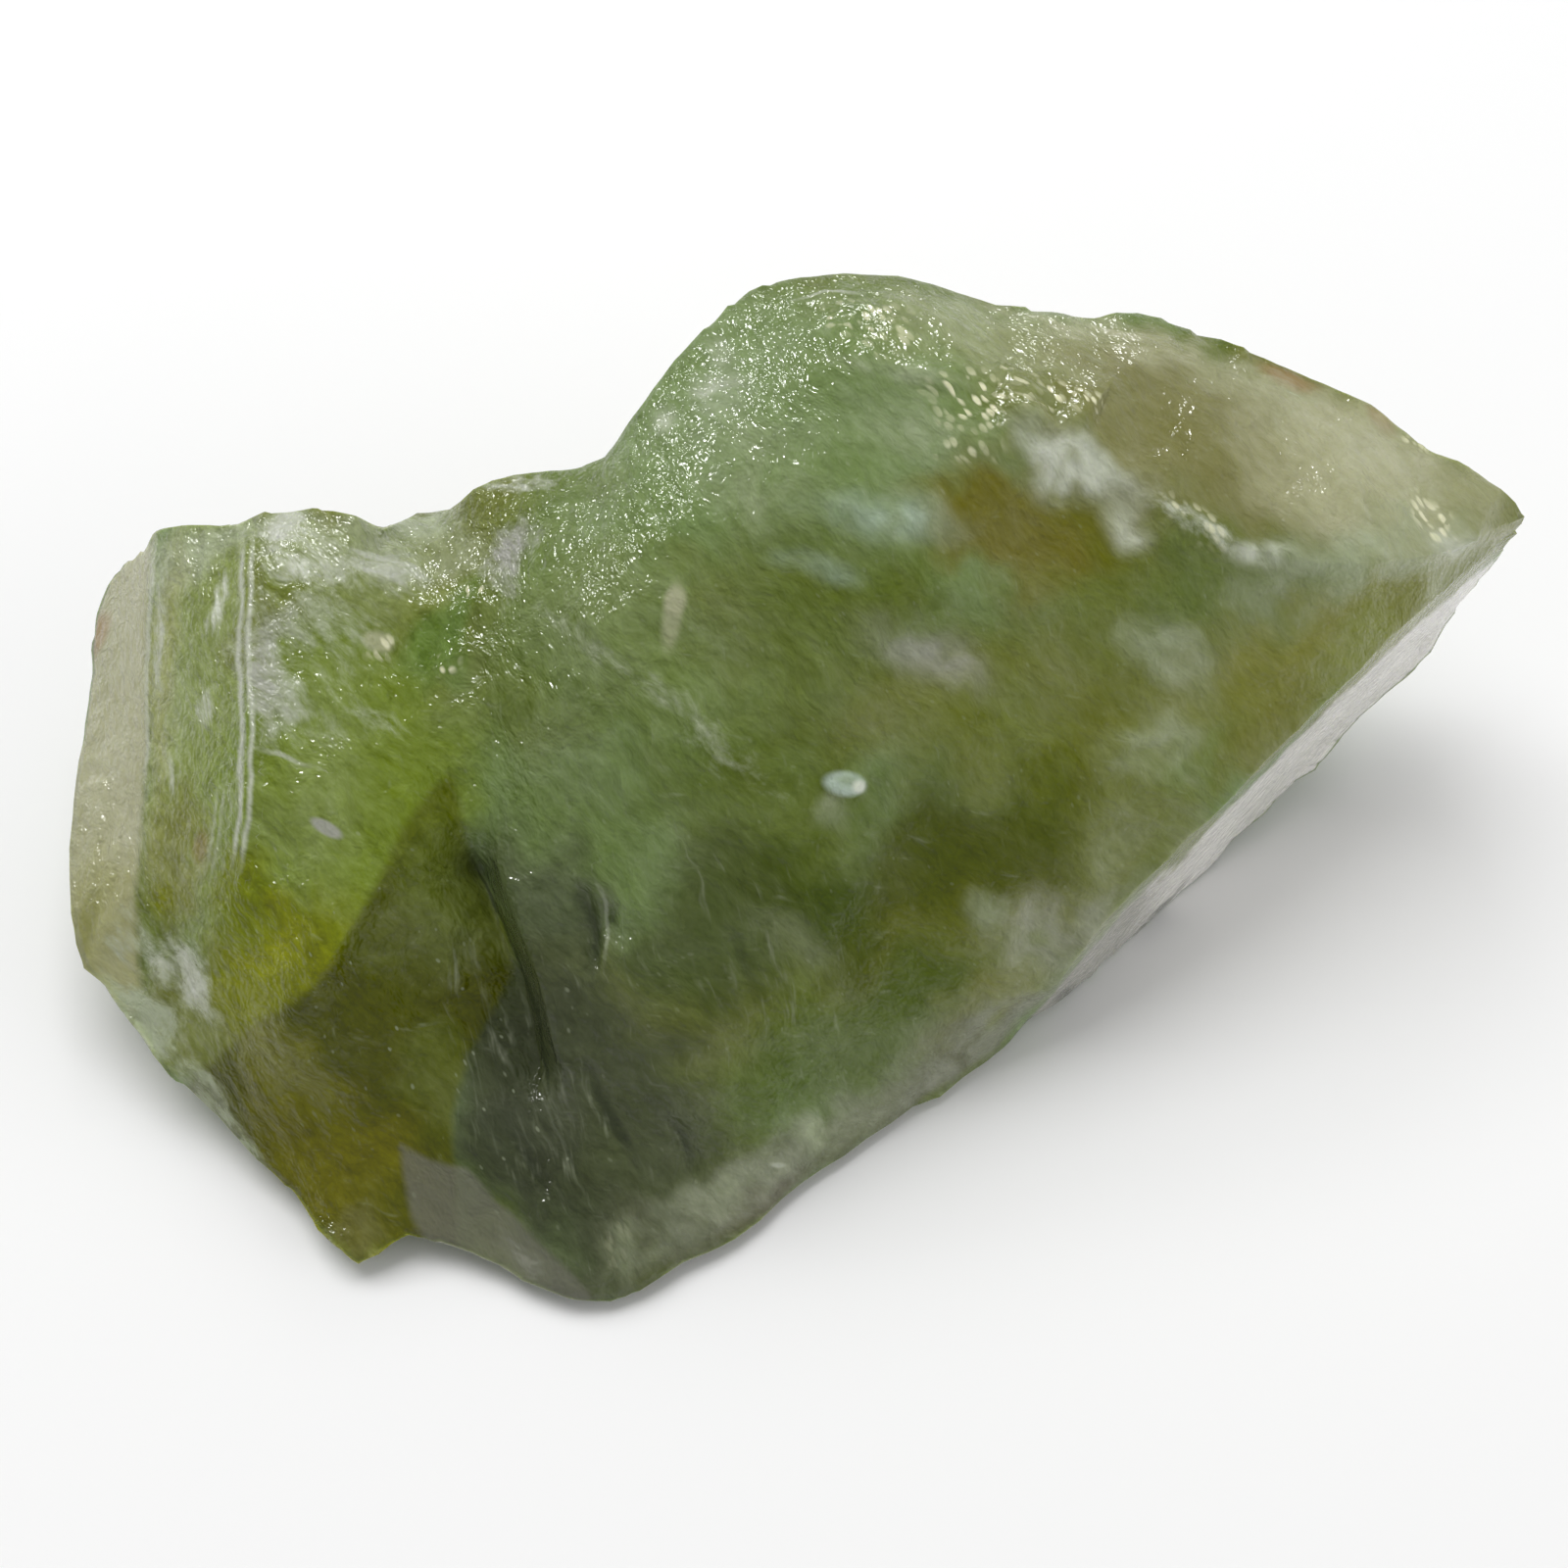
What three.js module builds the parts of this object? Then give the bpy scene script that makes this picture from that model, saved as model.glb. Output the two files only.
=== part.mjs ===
// A palm-sized chunk of rough green calcite, broken from its vein as one piece.
// Millimetres, +Z up, standing on its own flat underside. Two lobes with a valley between them:
// a low one on the left with a pale end face, and a high wedge on the right whose lower right
// side is one smooth, undercut cleavage wall.

import * as THREE from 'three';
import { ImprovedNoise } from 'three/addons/math/ImprovedNoise.js';

// The real length shown from end to end, and the same length in the picture's pixels.
const STONE_LENGTH = 74;
const STONE_PIXELS = 1480;
const PIXELS_PER_MM = STONE_PIXELS / STONE_LENGTH;
const PICTURE_MIDDLE = 800;

// Where the stone is looked at from: above the table, in front, at arm's-end distance.
const VIEW_ELEVATION = THREE.MathUtils.degToRad(52);
const VIEW_DISTANCE = 140;
const VIEW_MIDDLE = new THREE.Vector3(0, 0, 13);

// How finely each stage of the breakage is cut, and how often it is evened out afterwards.
const STAGES = [
  { longestEdge: 5.5, evening: 3 },
  { longestEdge: 3.4, evening: 2 },
  { longestEdge: 2.4, evening: 2 },
];

// The outline and the sharp edges are divided into spans this short, so that triangles follow them.
const LONGEST_SPAN = 2;

// How far a single evening moves a point towards the middle of its neighbours.
const GROUND_EVENING = 0.5;
const SHARP_EVENING = 0.12;

// A corner is its pixel across, its pixel down and its height above the table in millimetres.
// The outline runs clockwise from the left lobe's far corner.
const LEFT_LOBE_TOP = [
  [159, 541, 16.5], [213, 536, 18.4], [251, 531, 19.6], [267, 524, 20.2], [298, 515, 20.8],
  [339, 515, 21.2], [363, 524, 21], [393, 536, 20.4],
];
const REAR_BUMP = [[405, 530, 17.4], [426, 524, 16.6], [445, 524, 16.6], [461, 529, 17.6]];
const SHOULDER = [
  [471, 518, 19.6], [484, 499, 20.2], [500, 490, 20.6], [526, 483, 21.3], [571, 482, 22.3],
  [594, 485, 22.8], [620, 468, 23.8],
];
const REAR_FLANK = [[635, 450, 24.6], [654, 421, 25.8], [695, 368, 27.2], [720, 334, 27.9]];
const CROWN = [
  [743, 309, 28.4], [762, 298, 28.6], [796, 288, 28.8], [838, 278, 28.8], [881, 276, 28.6],
  [915, 281, 28.3], [952, 287, 27.9],
];
const REAR_EDGE = [
  [1020, 304, 27], [1075, 319, 26.4], [1116, 329, 25.8], [1139, 321, 25.4], [1180, 327, 24.9],
  [1247, 348, 24.1], [1304, 371, 23.4], [1362, 390, 22.5], [1401, 411, 21.8], [1435, 433, 21.2],
  [1466, 460, 20.4], [1511, 477, 19.6], [1531, 504, 18.6],
];
const RIGHT_TIP = [[1546, 517, 18], [1554, 527, 17.2], [1550, 543, 16]];
const WALL_FOOT = [
  [1541, 553, 14.6], [1529, 568, 12.2], [1510, 590, 10], [1476, 637, 7.4], [1432, 682, 5.6],
  [1386, 732, 4], [1341, 773, 2.8], [1281, 839, 1], [1240, 883, 0], [1208, 914, -0.5],
  [1173, 946, -0.5], [1125, 992, -0.5], [1084, 1029, 0], [1051, 1044, 0.6],
];
const FRONT_FOOT = [
  [1010, 1083, 0.8], [957, 1116, 0.8], [929, 1126, 0.8], [907, 1145, 0.8], [861, 1178, 0.8],
  [815, 1209, 0.8], [799, 1220, 0.8], [779, 1248, 0.8], [750, 1266, 0.8], [722, 1281, 0.8],
  [695, 1286, 0.9],
];
const BOTTOM_KNOB = [
  [675, 1304, 1], [654, 1314, 1], [624, 1316, 1.1], [589, 1318, 1.1], [556, 1317, 1.1],
  [532, 1307, 1], [511, 1295, 1], [481, 1284, 1.1], [450, 1273, 1.3], [430, 1259, 1.7],
];
const NOTCH = [[417, 1254, 2]];
const LEFT_POINT = [
  [404, 1267, 1.7], [388, 1282, 1.5], [365, 1297, 1.4], [343, 1274, 1.4], [326, 1249, 1.4],
  [302, 1217, 1.5], [286, 1198, 1.6], [265, 1182, 1.8], [247, 1160, 2], [224, 1140, 2.3],
  [200, 1113, 2.7], [152, 1078, 3.5],
];
const LEFT_END = [
  [133, 1063, 3.8], [112, 1034, 4.4], [98, 1011, 4.8], [85, 987, 5.1], [77, 967, 5.4],
  [71, 933, 5.8], [70, 895, 6.2], [74, 837, 6.8], [80, 780, 7.4], [85, 739, 7.9], [92, 691, 8.6],
  [93, 653, 9.2], [99, 626, 9.9], [111, 598, 11], [127, 578, 12.4], [148, 561, 14.8],
];
const OUTLINE = [
  ...LEFT_LOBE_TOP, ...REAR_BUMP, ...SHOULDER, ...REAR_FLANK, ...CROWN, ...REAR_EDGE, ...RIGHT_TIP,
  ...WALL_FOOT, ...FRONT_FOOT, ...BOTTOM_KNOB, ...NOTCH, ...LEFT_POINT, ...LEFT_END,
];

// Edges that stay sharp: where two breaks meet.
const END_FACE_EDGE = [
  [159, 541, 16.5], [158, 600, 15.3], [155, 672, 13.4], [150, 749, 11.5], [141, 840, 9.6],
  [139, 900, 8.4], [142, 960, 6.9], [146, 1020, 5.2], [152, 1078, 3.5],
];
const LOBE_RIDGE = [
  [251, 531, 19.6], [254, 575, 19.4], [257, 630, 18.7], [258, 700, 17.7], [257, 760, 16.7],
  [253, 820, 15.5], [245, 880, 13.8], [236, 950, 11.4],
];
const LOBE_BACK = [[300, 541, 21.3], [345, 548, 21.6], [393, 549, 21], [432, 560, 18.8]];
const CREASE = [
  [470, 800, 15], [440, 830, 15], [410, 868, 14.7], [380, 910, 14.2], [355, 948, 13.6],
  [330, 985, 12.6], [308, 1020, 11.2], [285, 1060, 9], [265, 1105, 5.8], [247, 1160, 2],
];
const STEP_LOW = [
  [492, 884, 10.8], [504, 922, 10], [520, 970, 8.9], [534, 1004, 8], [541, 1044, 6.9], [550, 1085, 5.8],
];
const STEP_TOP = [
  [508, 880, 13.4], [521, 918, 12.8], [538, 968, 11.8], [553, 1002, 11], [560, 1040, 9.8],
  [570, 1082, 8.2],
];
const GLINT_RIDGE = [
  [862, 336, 30.2], [905, 366, 29.8], [945, 379, 29.4], [985, 387, 29.1], [1040, 408, 28.4],
  [1085, 436, 27.4], [1130, 462, 26.4], [1190, 515, 24.6], [1230, 538, 23.7], [1290, 562, 22.3],
  [1340, 573, 21.3], [1400, 575, 20.2], [1450, 567, 19.3], [1500, 553, 18.3], [1554, 527, 17.2],
];
const WALL_TOP = [
  [1541, 553, 14.6], [1518, 565, 15.4], [1487, 591, 15.8], [1453, 619, 15.8], [1405, 663, 15.5],
  [1384, 683, 15.3], [1341, 723, 14.8], [1281, 782, 13.5], [1230, 836, 12], [1189, 877, 10.9],
  [1144, 921, 9.5], [1109, 962, 8], [1080, 1002, 5.8], [1051, 1044, 0.6],
];
const SHARP_LINES = [END_FACE_EDGE, LOBE_RIDGE, CREASE, STEP_LOW, STEP_TOP, GLINT_RIDGE, WALL_TOP];

// The worn, rounded ground between those edges.
const LEFT_LOBE = [
  [205, 610, 17.4], [203, 700, 15.4], [200, 800, 13], [192, 890, 10.6], [190, 970, 8.2],
  [196, 1045, 5.2], [300, 600, 20.4], [350, 600, 20.8], [400, 610, 20], [310, 680, 19.3],
  [365, 680, 19.7], [420, 690, 18], [310, 780, 17.7], [370, 770, 18.2], [425, 770, 16.8],
  [300, 860, 15.9], [350, 850, 16.7], [290, 940, 13], [335, 910, 14.6], [262, 1010, 9.6],
  [238, 1080, 5.6],
];
const LOBE_FOOT = [
  [440, 900, 12.6], [400, 970, 11.8], [450, 975, 10.4], [350, 1040, 9.4], [410, 1050, 8.9],
  [480, 1040, 7.7], [320, 1110, 6.2], [380, 1120, 6.3], [445, 1120, 6], [500, 1120, 5.5],
  [345, 1180, 3.6], [400, 1190, 3.6], [450, 1200, 3.2], [366, 1240, 1.6],
];
const VALLEY = [
  [442, 556, 17.4], [458, 592, 16.8], [478, 635, 16.4], [484, 685, 15.7], [483, 735, 14.6],
  [479, 780, 13.6], [480, 832, 12.4],
];
const WEDGE_FLANK = [
  [505, 545, 20.6], [548, 530, 22.2], [600, 535, 24], [520, 610, 20.6], [528, 680, 19.8],
  [530, 750, 18.2], [528, 820, 15.8], [590, 680, 22], [590, 760, 19.8], [590, 830, 17.4],
  [560, 890, 14.8],
];
const WEDGE_FACE = [
  [560, 595, 23.2], [620, 650, 23.2], [680, 700, 22.4], [740, 748, 20.8], [800, 790, 18.9],
  [640, 510, 25.4], [680, 450, 27.2], [720, 560, 26], [760, 400, 29], [780, 490, 28.2],
  [820, 335, 29.9], [780, 650, 23.6], [840, 420, 29.7], [860, 560, 26.2], [860, 700, 21],
  [930, 450, 28.5], [940, 620, 23.2], [950, 760, 17.9], [1010, 530, 25], [1040, 680, 19.8],
  [1100, 580, 22.2], [1120, 760, 16], [1180, 660, 19.4], [1260, 690, 17.3], [1330, 640, 18.4],
  [1200, 780, 14.5], [1060, 840, 13.9], [1130, 850, 12.5], [950, 860, 14.4], [860, 850, 16],
  [760, 850, 17.6], [670, 800, 18.8], [1390, 620, 18],
];
const WEDGE_FOOT = [
  [650, 880, 16.2], [720, 930, 15], [800, 950, 13.6], [890, 940, 12.4], [980, 950, 10.9],
  [1040, 930, 10.6], [1020, 1010, 8], [940, 1030, 8.2], [860, 1040, 9], [780, 1040, 10.2],
  [700, 1030, 11.2], [630, 960, 13.2], [620, 1050, 10.4], [640, 1130, 7.6], [720, 1130, 6.8],
  [800, 1120, 6], [880, 1105, 4.6], [960, 1085, 3], [580, 1150, 5.6], [520, 1180, 4.2],
  [560, 1240, 2.6], [640, 1200, 4.6], [640, 1260, 2.4], [710, 1210, 3.2], [770, 1190, 2.6],
  [490, 1240, 1.8],
];
const BACK_BAND = [
  [905, 325, 29.2], [980, 345, 28.2], [1060, 365, 27.2], [1130, 390, 26.4], [1210, 420, 25],
  [1200, 470, 25.2], [1290, 430, 23.8], [1290, 500, 23.3], [1370, 470, 22.2], [1380, 530, 21.3],
  [1450, 510, 20.2], [1500, 510, 19.4],
];
const WORN_GROUND = [
  ...LOBE_BACK, ...LEFT_LOBE, ...LOBE_FOOT, ...VALLEY, ...WEDGE_FLANK, ...WEDGE_FACE,
  ...WEDGE_FOOT, ...BACK_BAND,
];

// The far side and the underside, in plain x, y and height, because nothing there is seen.
const UNDERSIDE_DEPTH = -0.6;
const UNDERSIDE = [
  [23, 9], [24, 15], [18, 19], [8, 20], [-2, 17.5], [-9, 12], [-17, 9], [-26, 8], [-31, 2],
  [-31, -5], [-27, -11], [16, 8], [8, 12], [0, 8], [-10, 4], [-20, 1], [-23, -7], [-12, -6],
  [-2, -3], [8, 1], [10, -6], [-16, -14], [-4, -12], [4, -10], [-10, -17], [-20, -16],
  [-21.5, -19.6],
].map(([x, y]) => [x, y, UNDERSIDE_DEPTH]);
const REAR_WALLS = [
  [25, 20.5, 5], [16, 23, 5], [6, 23.5, 5.5], [-2, 20.5, 5], [22, 20.6, 19.6], [12, 21.8, 22],
  [4, 21.6, 24], [-9, 15.5, 6], [-10, 17, 14], [-14, 12, 6], [-15, 13.5, 11.5], [-21, 13, 5],
  [-22, 15, 15], [-30, 12.5, 5], [-33, 14.6, 12], [-36, 7, 4], [-35.5, -2, 3], [-33, -8, 2.6],
  [35, 18.8, 8], [37.4, 18.4, 11.5], [37.8, 16.9, 15.2],
];
const REAR_LEDGE = [
  [31, 17.6, 15.4], [25, 20.4, 16], [18, 22.6, 16.4], [10, 23.2, 17.6], [3, 22.4, 18.8], [-4, 19.8, 19.2],
];
const REAR_LEDGE_LIP = [
  [31, 18.8, 12], [25, 22.2, 12], [18, 24.4, 12], [10, 25, 13], [3, 24.2, 14.4], [-3, 21.2, 15],
];
const REAR_CORNER = [[-3, 21.2, 15], [-4, 20.4, 10], [-5, 18.4, 5.6]];
const LOBE_LEDGE = [[-17, 13.5, 10], [-22, 15.2, 10.4], [-27, 15.6, 10], [-33, 14.4, 8.6]];
const LOBE_LEDGE_FOOT = [[-17, 12, 8.8], [-22, 13.4, 9], [-27, 13.8, 8.6], [-32.4, 12.8, 7.4]];
const FAR_LINES = [REAR_LEDGE, REAR_LEDGE_LIP, REAR_CORNER, LOBE_LEDGE, LOBE_LEDGE_FOOT];
const FAR_SIDE = [...UNDERSIDE, ...REAR_WALLS];

// Small forms that stand out from a step away: where, how wide and how far out or in.
const LOCAL_FORMS = [
  { name: 'bead', place: [862, 800, 16.8], reach: 1.5, lift: 0.55 },
  { name: 'hooked hollow', place: [600, 945, 13.6], reach: 2.2, lift: -1 },
  { name: 'hollow rim', place: [618, 915, 14.8], reach: 1.6, lift: 0.5 },
  { name: 'bottom knob', place: [630, 1280, 1.4], reach: 3.4, lift: 0.8 },
  { name: 'glinting chip', place: [888, 335, 29.8], reach: 2, lift: -0.7 },
  { name: 'long chip', place: [1010, 402, 28.6], reach: 2.4, lift: -0.8 },
  { name: 'far chip', place: [1080, 410, 27.6], reach: 1.8, lift: -0.6 },
  { name: 'valley chip', place: [482, 600, 17], reach: 1.6, lift: -0.6 },
  { name: 'lobe pit', place: [380, 655, 19.8], reach: 1.6, lift: -0.6 },
  { name: 'lobe swelling', place: [370, 560, 21.3], reach: 3, lift: 0.5 },
];

// The broken surface's relief: waves of noise, their size and their height in millimetres.
const RELIEF = [
  { size: 11, height: 0.55 },
  { size: 5.2, height: 0.42 },
  { size: 2.6, height: 0.24 },
];
const RELIEF_SHIFT = 17.3;
const LEDGE_DIRECTION = new THREE.Vector3(0.55, -0.25, 0.8).normalize();
const LEDGE_SPACING = 4.6;
const LEDGE_HEIGHT = 0.5;
const LEDGE_WANDER = 0.8;
const LEDGE_PATCH_SIZE = 9;
const LEDGE_PATCH_START = -0.1;
const LEDGE_PATCH_FULL = 0.3;
const CLEAVAGE_WALL_NORMAL = new THREE.Vector3(0.68, -0.7, -0.2).normalize();
const END_FACE_NORMAL = new THREE.Vector3(-0.88, -0.26, 0.39).normalize();
const FLAT_FROM = 0.86;
const FLAT_FULL = 0.96;
const FLAT_RELIEF = 0.12;

const VIEW_RIGHT = new THREE.Vector3(1, 0, 0);
const VIEW_UP = new THREE.Vector3(0, Math.sin(VIEW_ELEVATION), Math.cos(VIEW_ELEVATION));
const VIEW_TOWARDS = new THREE.Vector3(0, -Math.cos(VIEW_ELEVATION), Math.sin(VIEW_ELEVATION));

// The point of the stone on the line of sight through a pixel, at a height above the table.
function seen([across, down, height]) {
  const right = (across - PICTURE_MIDDLE) / PIXELS_PER_MM;
  const up = (PICTURE_MIDDLE - down) / PIXELS_PER_MM;
  const towards = (height - VIEW_MIDDLE.z - up * VIEW_UP.z)
    / (VIEW_TOWARDS.z - up * VIEW_UP.z / VIEW_DISTANCE);
  const narrowing = 1 - towards / VIEW_DISTANCE;
  return VIEW_MIDDLE.clone()
    .addScaledVector(VIEW_RIGHT, right * narrowing)
    .addScaledVector(VIEW_UP, up * narrowing)
    .addScaledVector(VIEW_TOWARDS, towards);
}

// Where a point of the stone shows in the picture, in millimetres from its middle.
function inPicture(point) {
  const offset = point.clone().sub(VIEW_MIDDLE);
  const narrowing = 1 - offset.dot(VIEW_TOWARDS) / VIEW_DISTANCE;
  return new THREE.Vector2(offset.dot(VIEW_RIGHT), offset.dot(VIEW_UP)).divideScalar(narrowing);
}

const edgeName = (a, b) => (a < b ? `${a}-${b}` : `${b}-${a}`);

// A line of corners with more of them between its own, where those are far apart.
function divide(line, longest) {
  return line.flatMap((corner, index) => {
    const next = line[index + 1];
    if (next === undefined) return [corner];
    const length = Math.hypot(...corner.map((value, axis) => next[axis] - value));
    const spans = Math.ceil(length / longest);
    return Array.from({ length: spans }, (_, step) => (
      corner.map((value, axis) => value + (next[axis] - value) * step / spans)));
  });
}

// Whether the circle through a triangle's corners holds a point of the plane.
function circleHolds([a, b, c], p) {
  const [ax, ay, bx, by] = [a.x - p.x, a.y - p.y, b.x - p.x, b.y - p.y];
  const [cx, cy] = [c.x - p.x, c.y - p.y];
  const [a2, b2, c2] = [ax * ax + ay * ay, bx * bx + by * by, cx * cx + cy * cy];
  const held = a2 * (bx * cy - cx * by) - b2 * (ax * cy - cx * ay) + c2 * (ax * by - bx * ay);
  return held > 0;
}

// Joins points of the plane into well-shaped triangles, adding one point at a time.
function joinPoints(points) {
  const far = 1e4;
  const count = points.length;
  const all = [...points, { x: -far, y: -far }, { x: far, y: -far }, { x: 0, y: far }];
  let triangles = [[count, count + 1, count + 2]];
  points.forEach((point, index) => {
    const kept = [];
    const rim = new Map();
    for (const triangle of triangles) {
      if (!circleHolds(triangle.map((corner) => all[corner]), point)) {
        kept.push(triangle);
        continue;
      }
      triangle.forEach((from, side) => {
        const to = triangle[(side + 1) % 3];
        const name = edgeName(from, to);
        if (rim.has(name)) rim.delete(name);
        else rim.set(name, [from, to]);
      });
    }
    triangles = [...kept, ...[...rim.values()].map(([from, to]) => [from, to, index])];
  });
  return triangles.filter((triangle) => triangle.every((corner) => corner < count));
}

// Whether a point of the plane lies inside a closed outline.
function isInside(point, outline) {
  let inside = false;
  outline.forEach((from, index) => {
    const to = outline[(index + 1) % outline.length];
    const crosses = (from.y > point.y) !== (to.y > point.y);
    if (crosses && point.x < from.x + (to.x - from.x) * (point.y - from.y) / (to.y - from.y)) {
      inside = !inside;
    }
  });
  return inside;
}

// One side of the stone: triangles over the outline, through that side's own points.
function makeSide(outlineCount, inner, points) {
  const indices = [...Array(outlineCount).keys(), ...inner];
  const flat = indices.map((index) => inPicture(points[index]));
  const outline = flat.slice(0, outlineCount);
  return joinPoints(flat)
    .filter((triangle) => {
      const middle = new THREE.Vector2();
      triangle.forEach((corner) => middle.addScaledVector(flat[corner], 1 / 3));
      return isInside(middle, outline);
    })
    .map((triangle) => triangle.map((corner) => indices[corner]));
}

// The stone's rough body: the seen side and the far side, joined along the outline.
function makeBody() {
  const outline = divide([...OUTLINE, OUTLINE[0]], LONGEST_SPAN * PIXELS_PER_MM).slice(0, -1);
  const points = outline.map(seen);
  const places = new Map(outline.map(([across, down], index) => [`${across},${down}`, index]));
  const indexOf = (corner) => {
    const place = `${corner[0]},${corner[1]}`;
    if (!places.has(place)) {
      places.set(place, points.length);
      points.push(seen(corner));
    }
    return places.get(place);
  };
  const sharp = new Set();
  const addSharpLine = (line, indexAt) => {
    line.slice(1).forEach((corner, index) => {
      sharp.add(edgeName(indexAt(line[index]), indexAt(corner)));
    });
  };
  outline.forEach((corner, index) => sharp.add(edgeName(index, (index + 1) % outline.length)));
  SHARP_LINES.forEach((line) => addSharpLine(divide(line, LONGEST_SPAN * PIXELS_PER_MM), indexOf));
  WORN_GROUND.forEach(indexOf);
  const seenCount = points.length;
  const farIndexOf = (corner) => {
    const place = `far ${corner}`;
    if (!places.has(place)) {
      places.set(place, points.length);
      points.push(new THREE.Vector3(...corner));
    }
    return places.get(place);
  };
  FAR_LINES.forEach((line) => addSharpLine(divide(line, LONGEST_SPAN), farIndexOf));
  FAR_SIDE.forEach(farIndexOf);
  const seenInner = points.map((point, index) => index).slice(outline.length, seenCount);
  const farInner = points.map((point, index) => index).slice(seenCount);
  const seenSide = makeSide(outline.length, seenInner, points);
  const farSide = makeSide(outline.length, farInner, points);
  const triangles = [...seenSide, ...farSide.map(([a, b, c]) => [a, c, b])];
  return { points, triangles, sharp };
}

// Splits every edge longer than a length, so that no crack opens between neighbours.
function splitLongEdges(body, longest) {
  let divided = true;
  while (divided) {
    const middles = new Map();
    for (const triangle of body.triangles) {
      triangle.forEach((from, side) => {
        const to = triangle[(side + 1) % 3];
        const name = edgeName(from, to);
        if (middles.has(name) || body.points[from].distanceTo(body.points[to]) <= longest) return;
        const middle = body.points.length;
        middles.set(name, middle);
        body.points.push(body.points[from].clone().add(body.points[to]).multiplyScalar(0.5));
        if (body.sharp.delete(name)) {
          body.sharp.add(edgeName(from, middle));
          body.sharp.add(edgeName(middle, to));
        }
      });
    }
    divided = middles.size > 0;
    body.triangles = body.triangles.flatMap((triangle) => splitTriangle(triangle, middles));
  }
}

// The triangles that replace one triangle once some of its edges have a middle.
function splitTriangle(triangle, middles) {
  const middleOf = (from, to) => middles.get(edgeName(from, to));
  const cut = triangle.filter((from, side) => middleOf(from, triangle[(side + 1) % 3]) !== undefined);
  if (cut.length === 0) return [triangle];
  let [a, b, c] = triangle;
  const turn = () => { [a, b, c] = [b, c, a]; };
  if (cut.length === 1) {
    while (middleOf(a, b) === undefined) turn();
    const ab = middleOf(a, b);
    return [[a, ab, c], [ab, b, c]];
  }
  if (cut.length === 2) {
    while (middleOf(c, a) !== undefined) turn();
    const ab = middleOf(a, b);
    const bc = middleOf(b, c);
    return [[ab, b, bc], [a, ab, bc], [a, bc, c]];
  }
  const [ab, bc, ca] = [middleOf(a, b), middleOf(b, c), middleOf(c, a)];
  return [[a, ab, ca], [ab, b, bc], [ca, bc, c], [ab, bc, ca]];
}

// Evens the ground out, while a point on a sharp edge moves only along that edge.
function evenOut(body, times) {
  const near = body.points.map(() => new Set());
  const alongEdge = body.points.map(() => []);
  for (const triangle of body.triangles) {
    triangle.forEach((from, side) => {
      const to = triangle[(side + 1) % 3];
      near[from].add(to);
      near[to].add(from);
    });
  }
  for (const name of body.sharp) {
    const [from, to] = name.split('-').map(Number);
    alongEdge[from].push(to);
    alongEdge[to].push(from);
  }
  for (let pass = 0; pass < times; pass += 1) {
    body.points = body.points.map((point, index) => {
      const edge = alongEdge[index];
      const isCorner = edge.length === 1 || edge.length > 2;
      const neighbours = edge.length === 2 ? edge : [...near[index]];
      if (isCorner || neighbours.length === 0) return point;
      const middle = new THREE.Vector3();
      neighbours.forEach((other) => middle.addScaledVector(body.points[other], 1 / neighbours.length));
      return point.clone().lerp(middle, edge.length === 2 ? SHARP_EVENING : GROUND_EVENING);
    });
  }
}

// Each point's outward direction, from the triangles around it.
function outwardDirections(body) {
  const directions = body.points.map(() => new THREE.Vector3());
  const [ab, ac] = [new THREE.Vector3(), new THREE.Vector3()];
  for (const [a, b, c] of body.triangles) {
    ab.subVectors(body.points[b], body.points[a]);
    ac.subVectors(body.points[c], body.points[a]);
    ab.cross(ac);
    [a, b, c].forEach((corner) => directions[corner].add(ab));
  }
  return directions.map((direction) => direction.normalize());
}

// Smooth noise of a given wave size, the same at every run.
const waves = new ImprovedNoise();
function wave(point, size, shift) {
  return waves.noise(point.x / size + shift, point.y / size - shift, point.z / size + shift);
}

// How much a point belongs to one of the two faces that split flat.
function flatnessAt(outward) {
  const { smoothstep } = THREE.MathUtils;
  return Math.max(
    smoothstep(outward.dot(CLEAVAGE_WALL_NORMAL), FLAT_FROM, FLAT_FULL),
    smoothstep(outward.dot(END_FACE_NORMAL), FLAT_FROM, FLAT_FULL),
  );
}

// Thin ledges in patches, where the break stepped from one cleavage sheet to the next.
function ledgeAt(point) {
  const patch = wave(point, LEDGE_PATCH_SIZE, RELIEF_SHIFT / 2);
  const along = point.dot(LEDGE_DIRECTION) / LEDGE_SPACING + LEDGE_WANDER * patch;
  const slope = along - Math.floor(along) - 0.5;
  return LEDGE_HEIGHT * slope * THREE.MathUtils.smoothstep(patch, LEDGE_PATCH_START, LEDGE_PATCH_FULL);
}

// How far out or in the surface stands at a point: lumps, ledges and the named small forms.
const localForms = LOCAL_FORMS.map((form) => ({ ...form, centre: seen(form.place) }));
function reliefAt(point, outward) {
  let relief = ledgeAt(point);
  RELIEF.forEach(({ size, height }, layer) => {
    relief += height * wave(point, size, RELIEF_SHIFT * (layer + 1));
  });
  relief *= THREE.MathUtils.lerp(1, FLAT_RELIEF, flatnessAt(outward));
  for (const { centre, reach, lift } of localForms) {
    relief += lift * (1 - THREE.MathUtils.smoothstep(point.distanceTo(centre), 0, reach));
  }
  return relief;
}

// Raises the relief and planes the underside flat, so that the stone stands without rocking.
function roughen(body) {
  const outward = outwardDirections(body);
  body.points = body.points.map((point, index) => {
    const moved = point.clone().addScaledVector(outward[index], reliefAt(point, outward[index]));
    moved.z = Math.max(moved.z, 0);
    return moved;
  });
}

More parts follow.
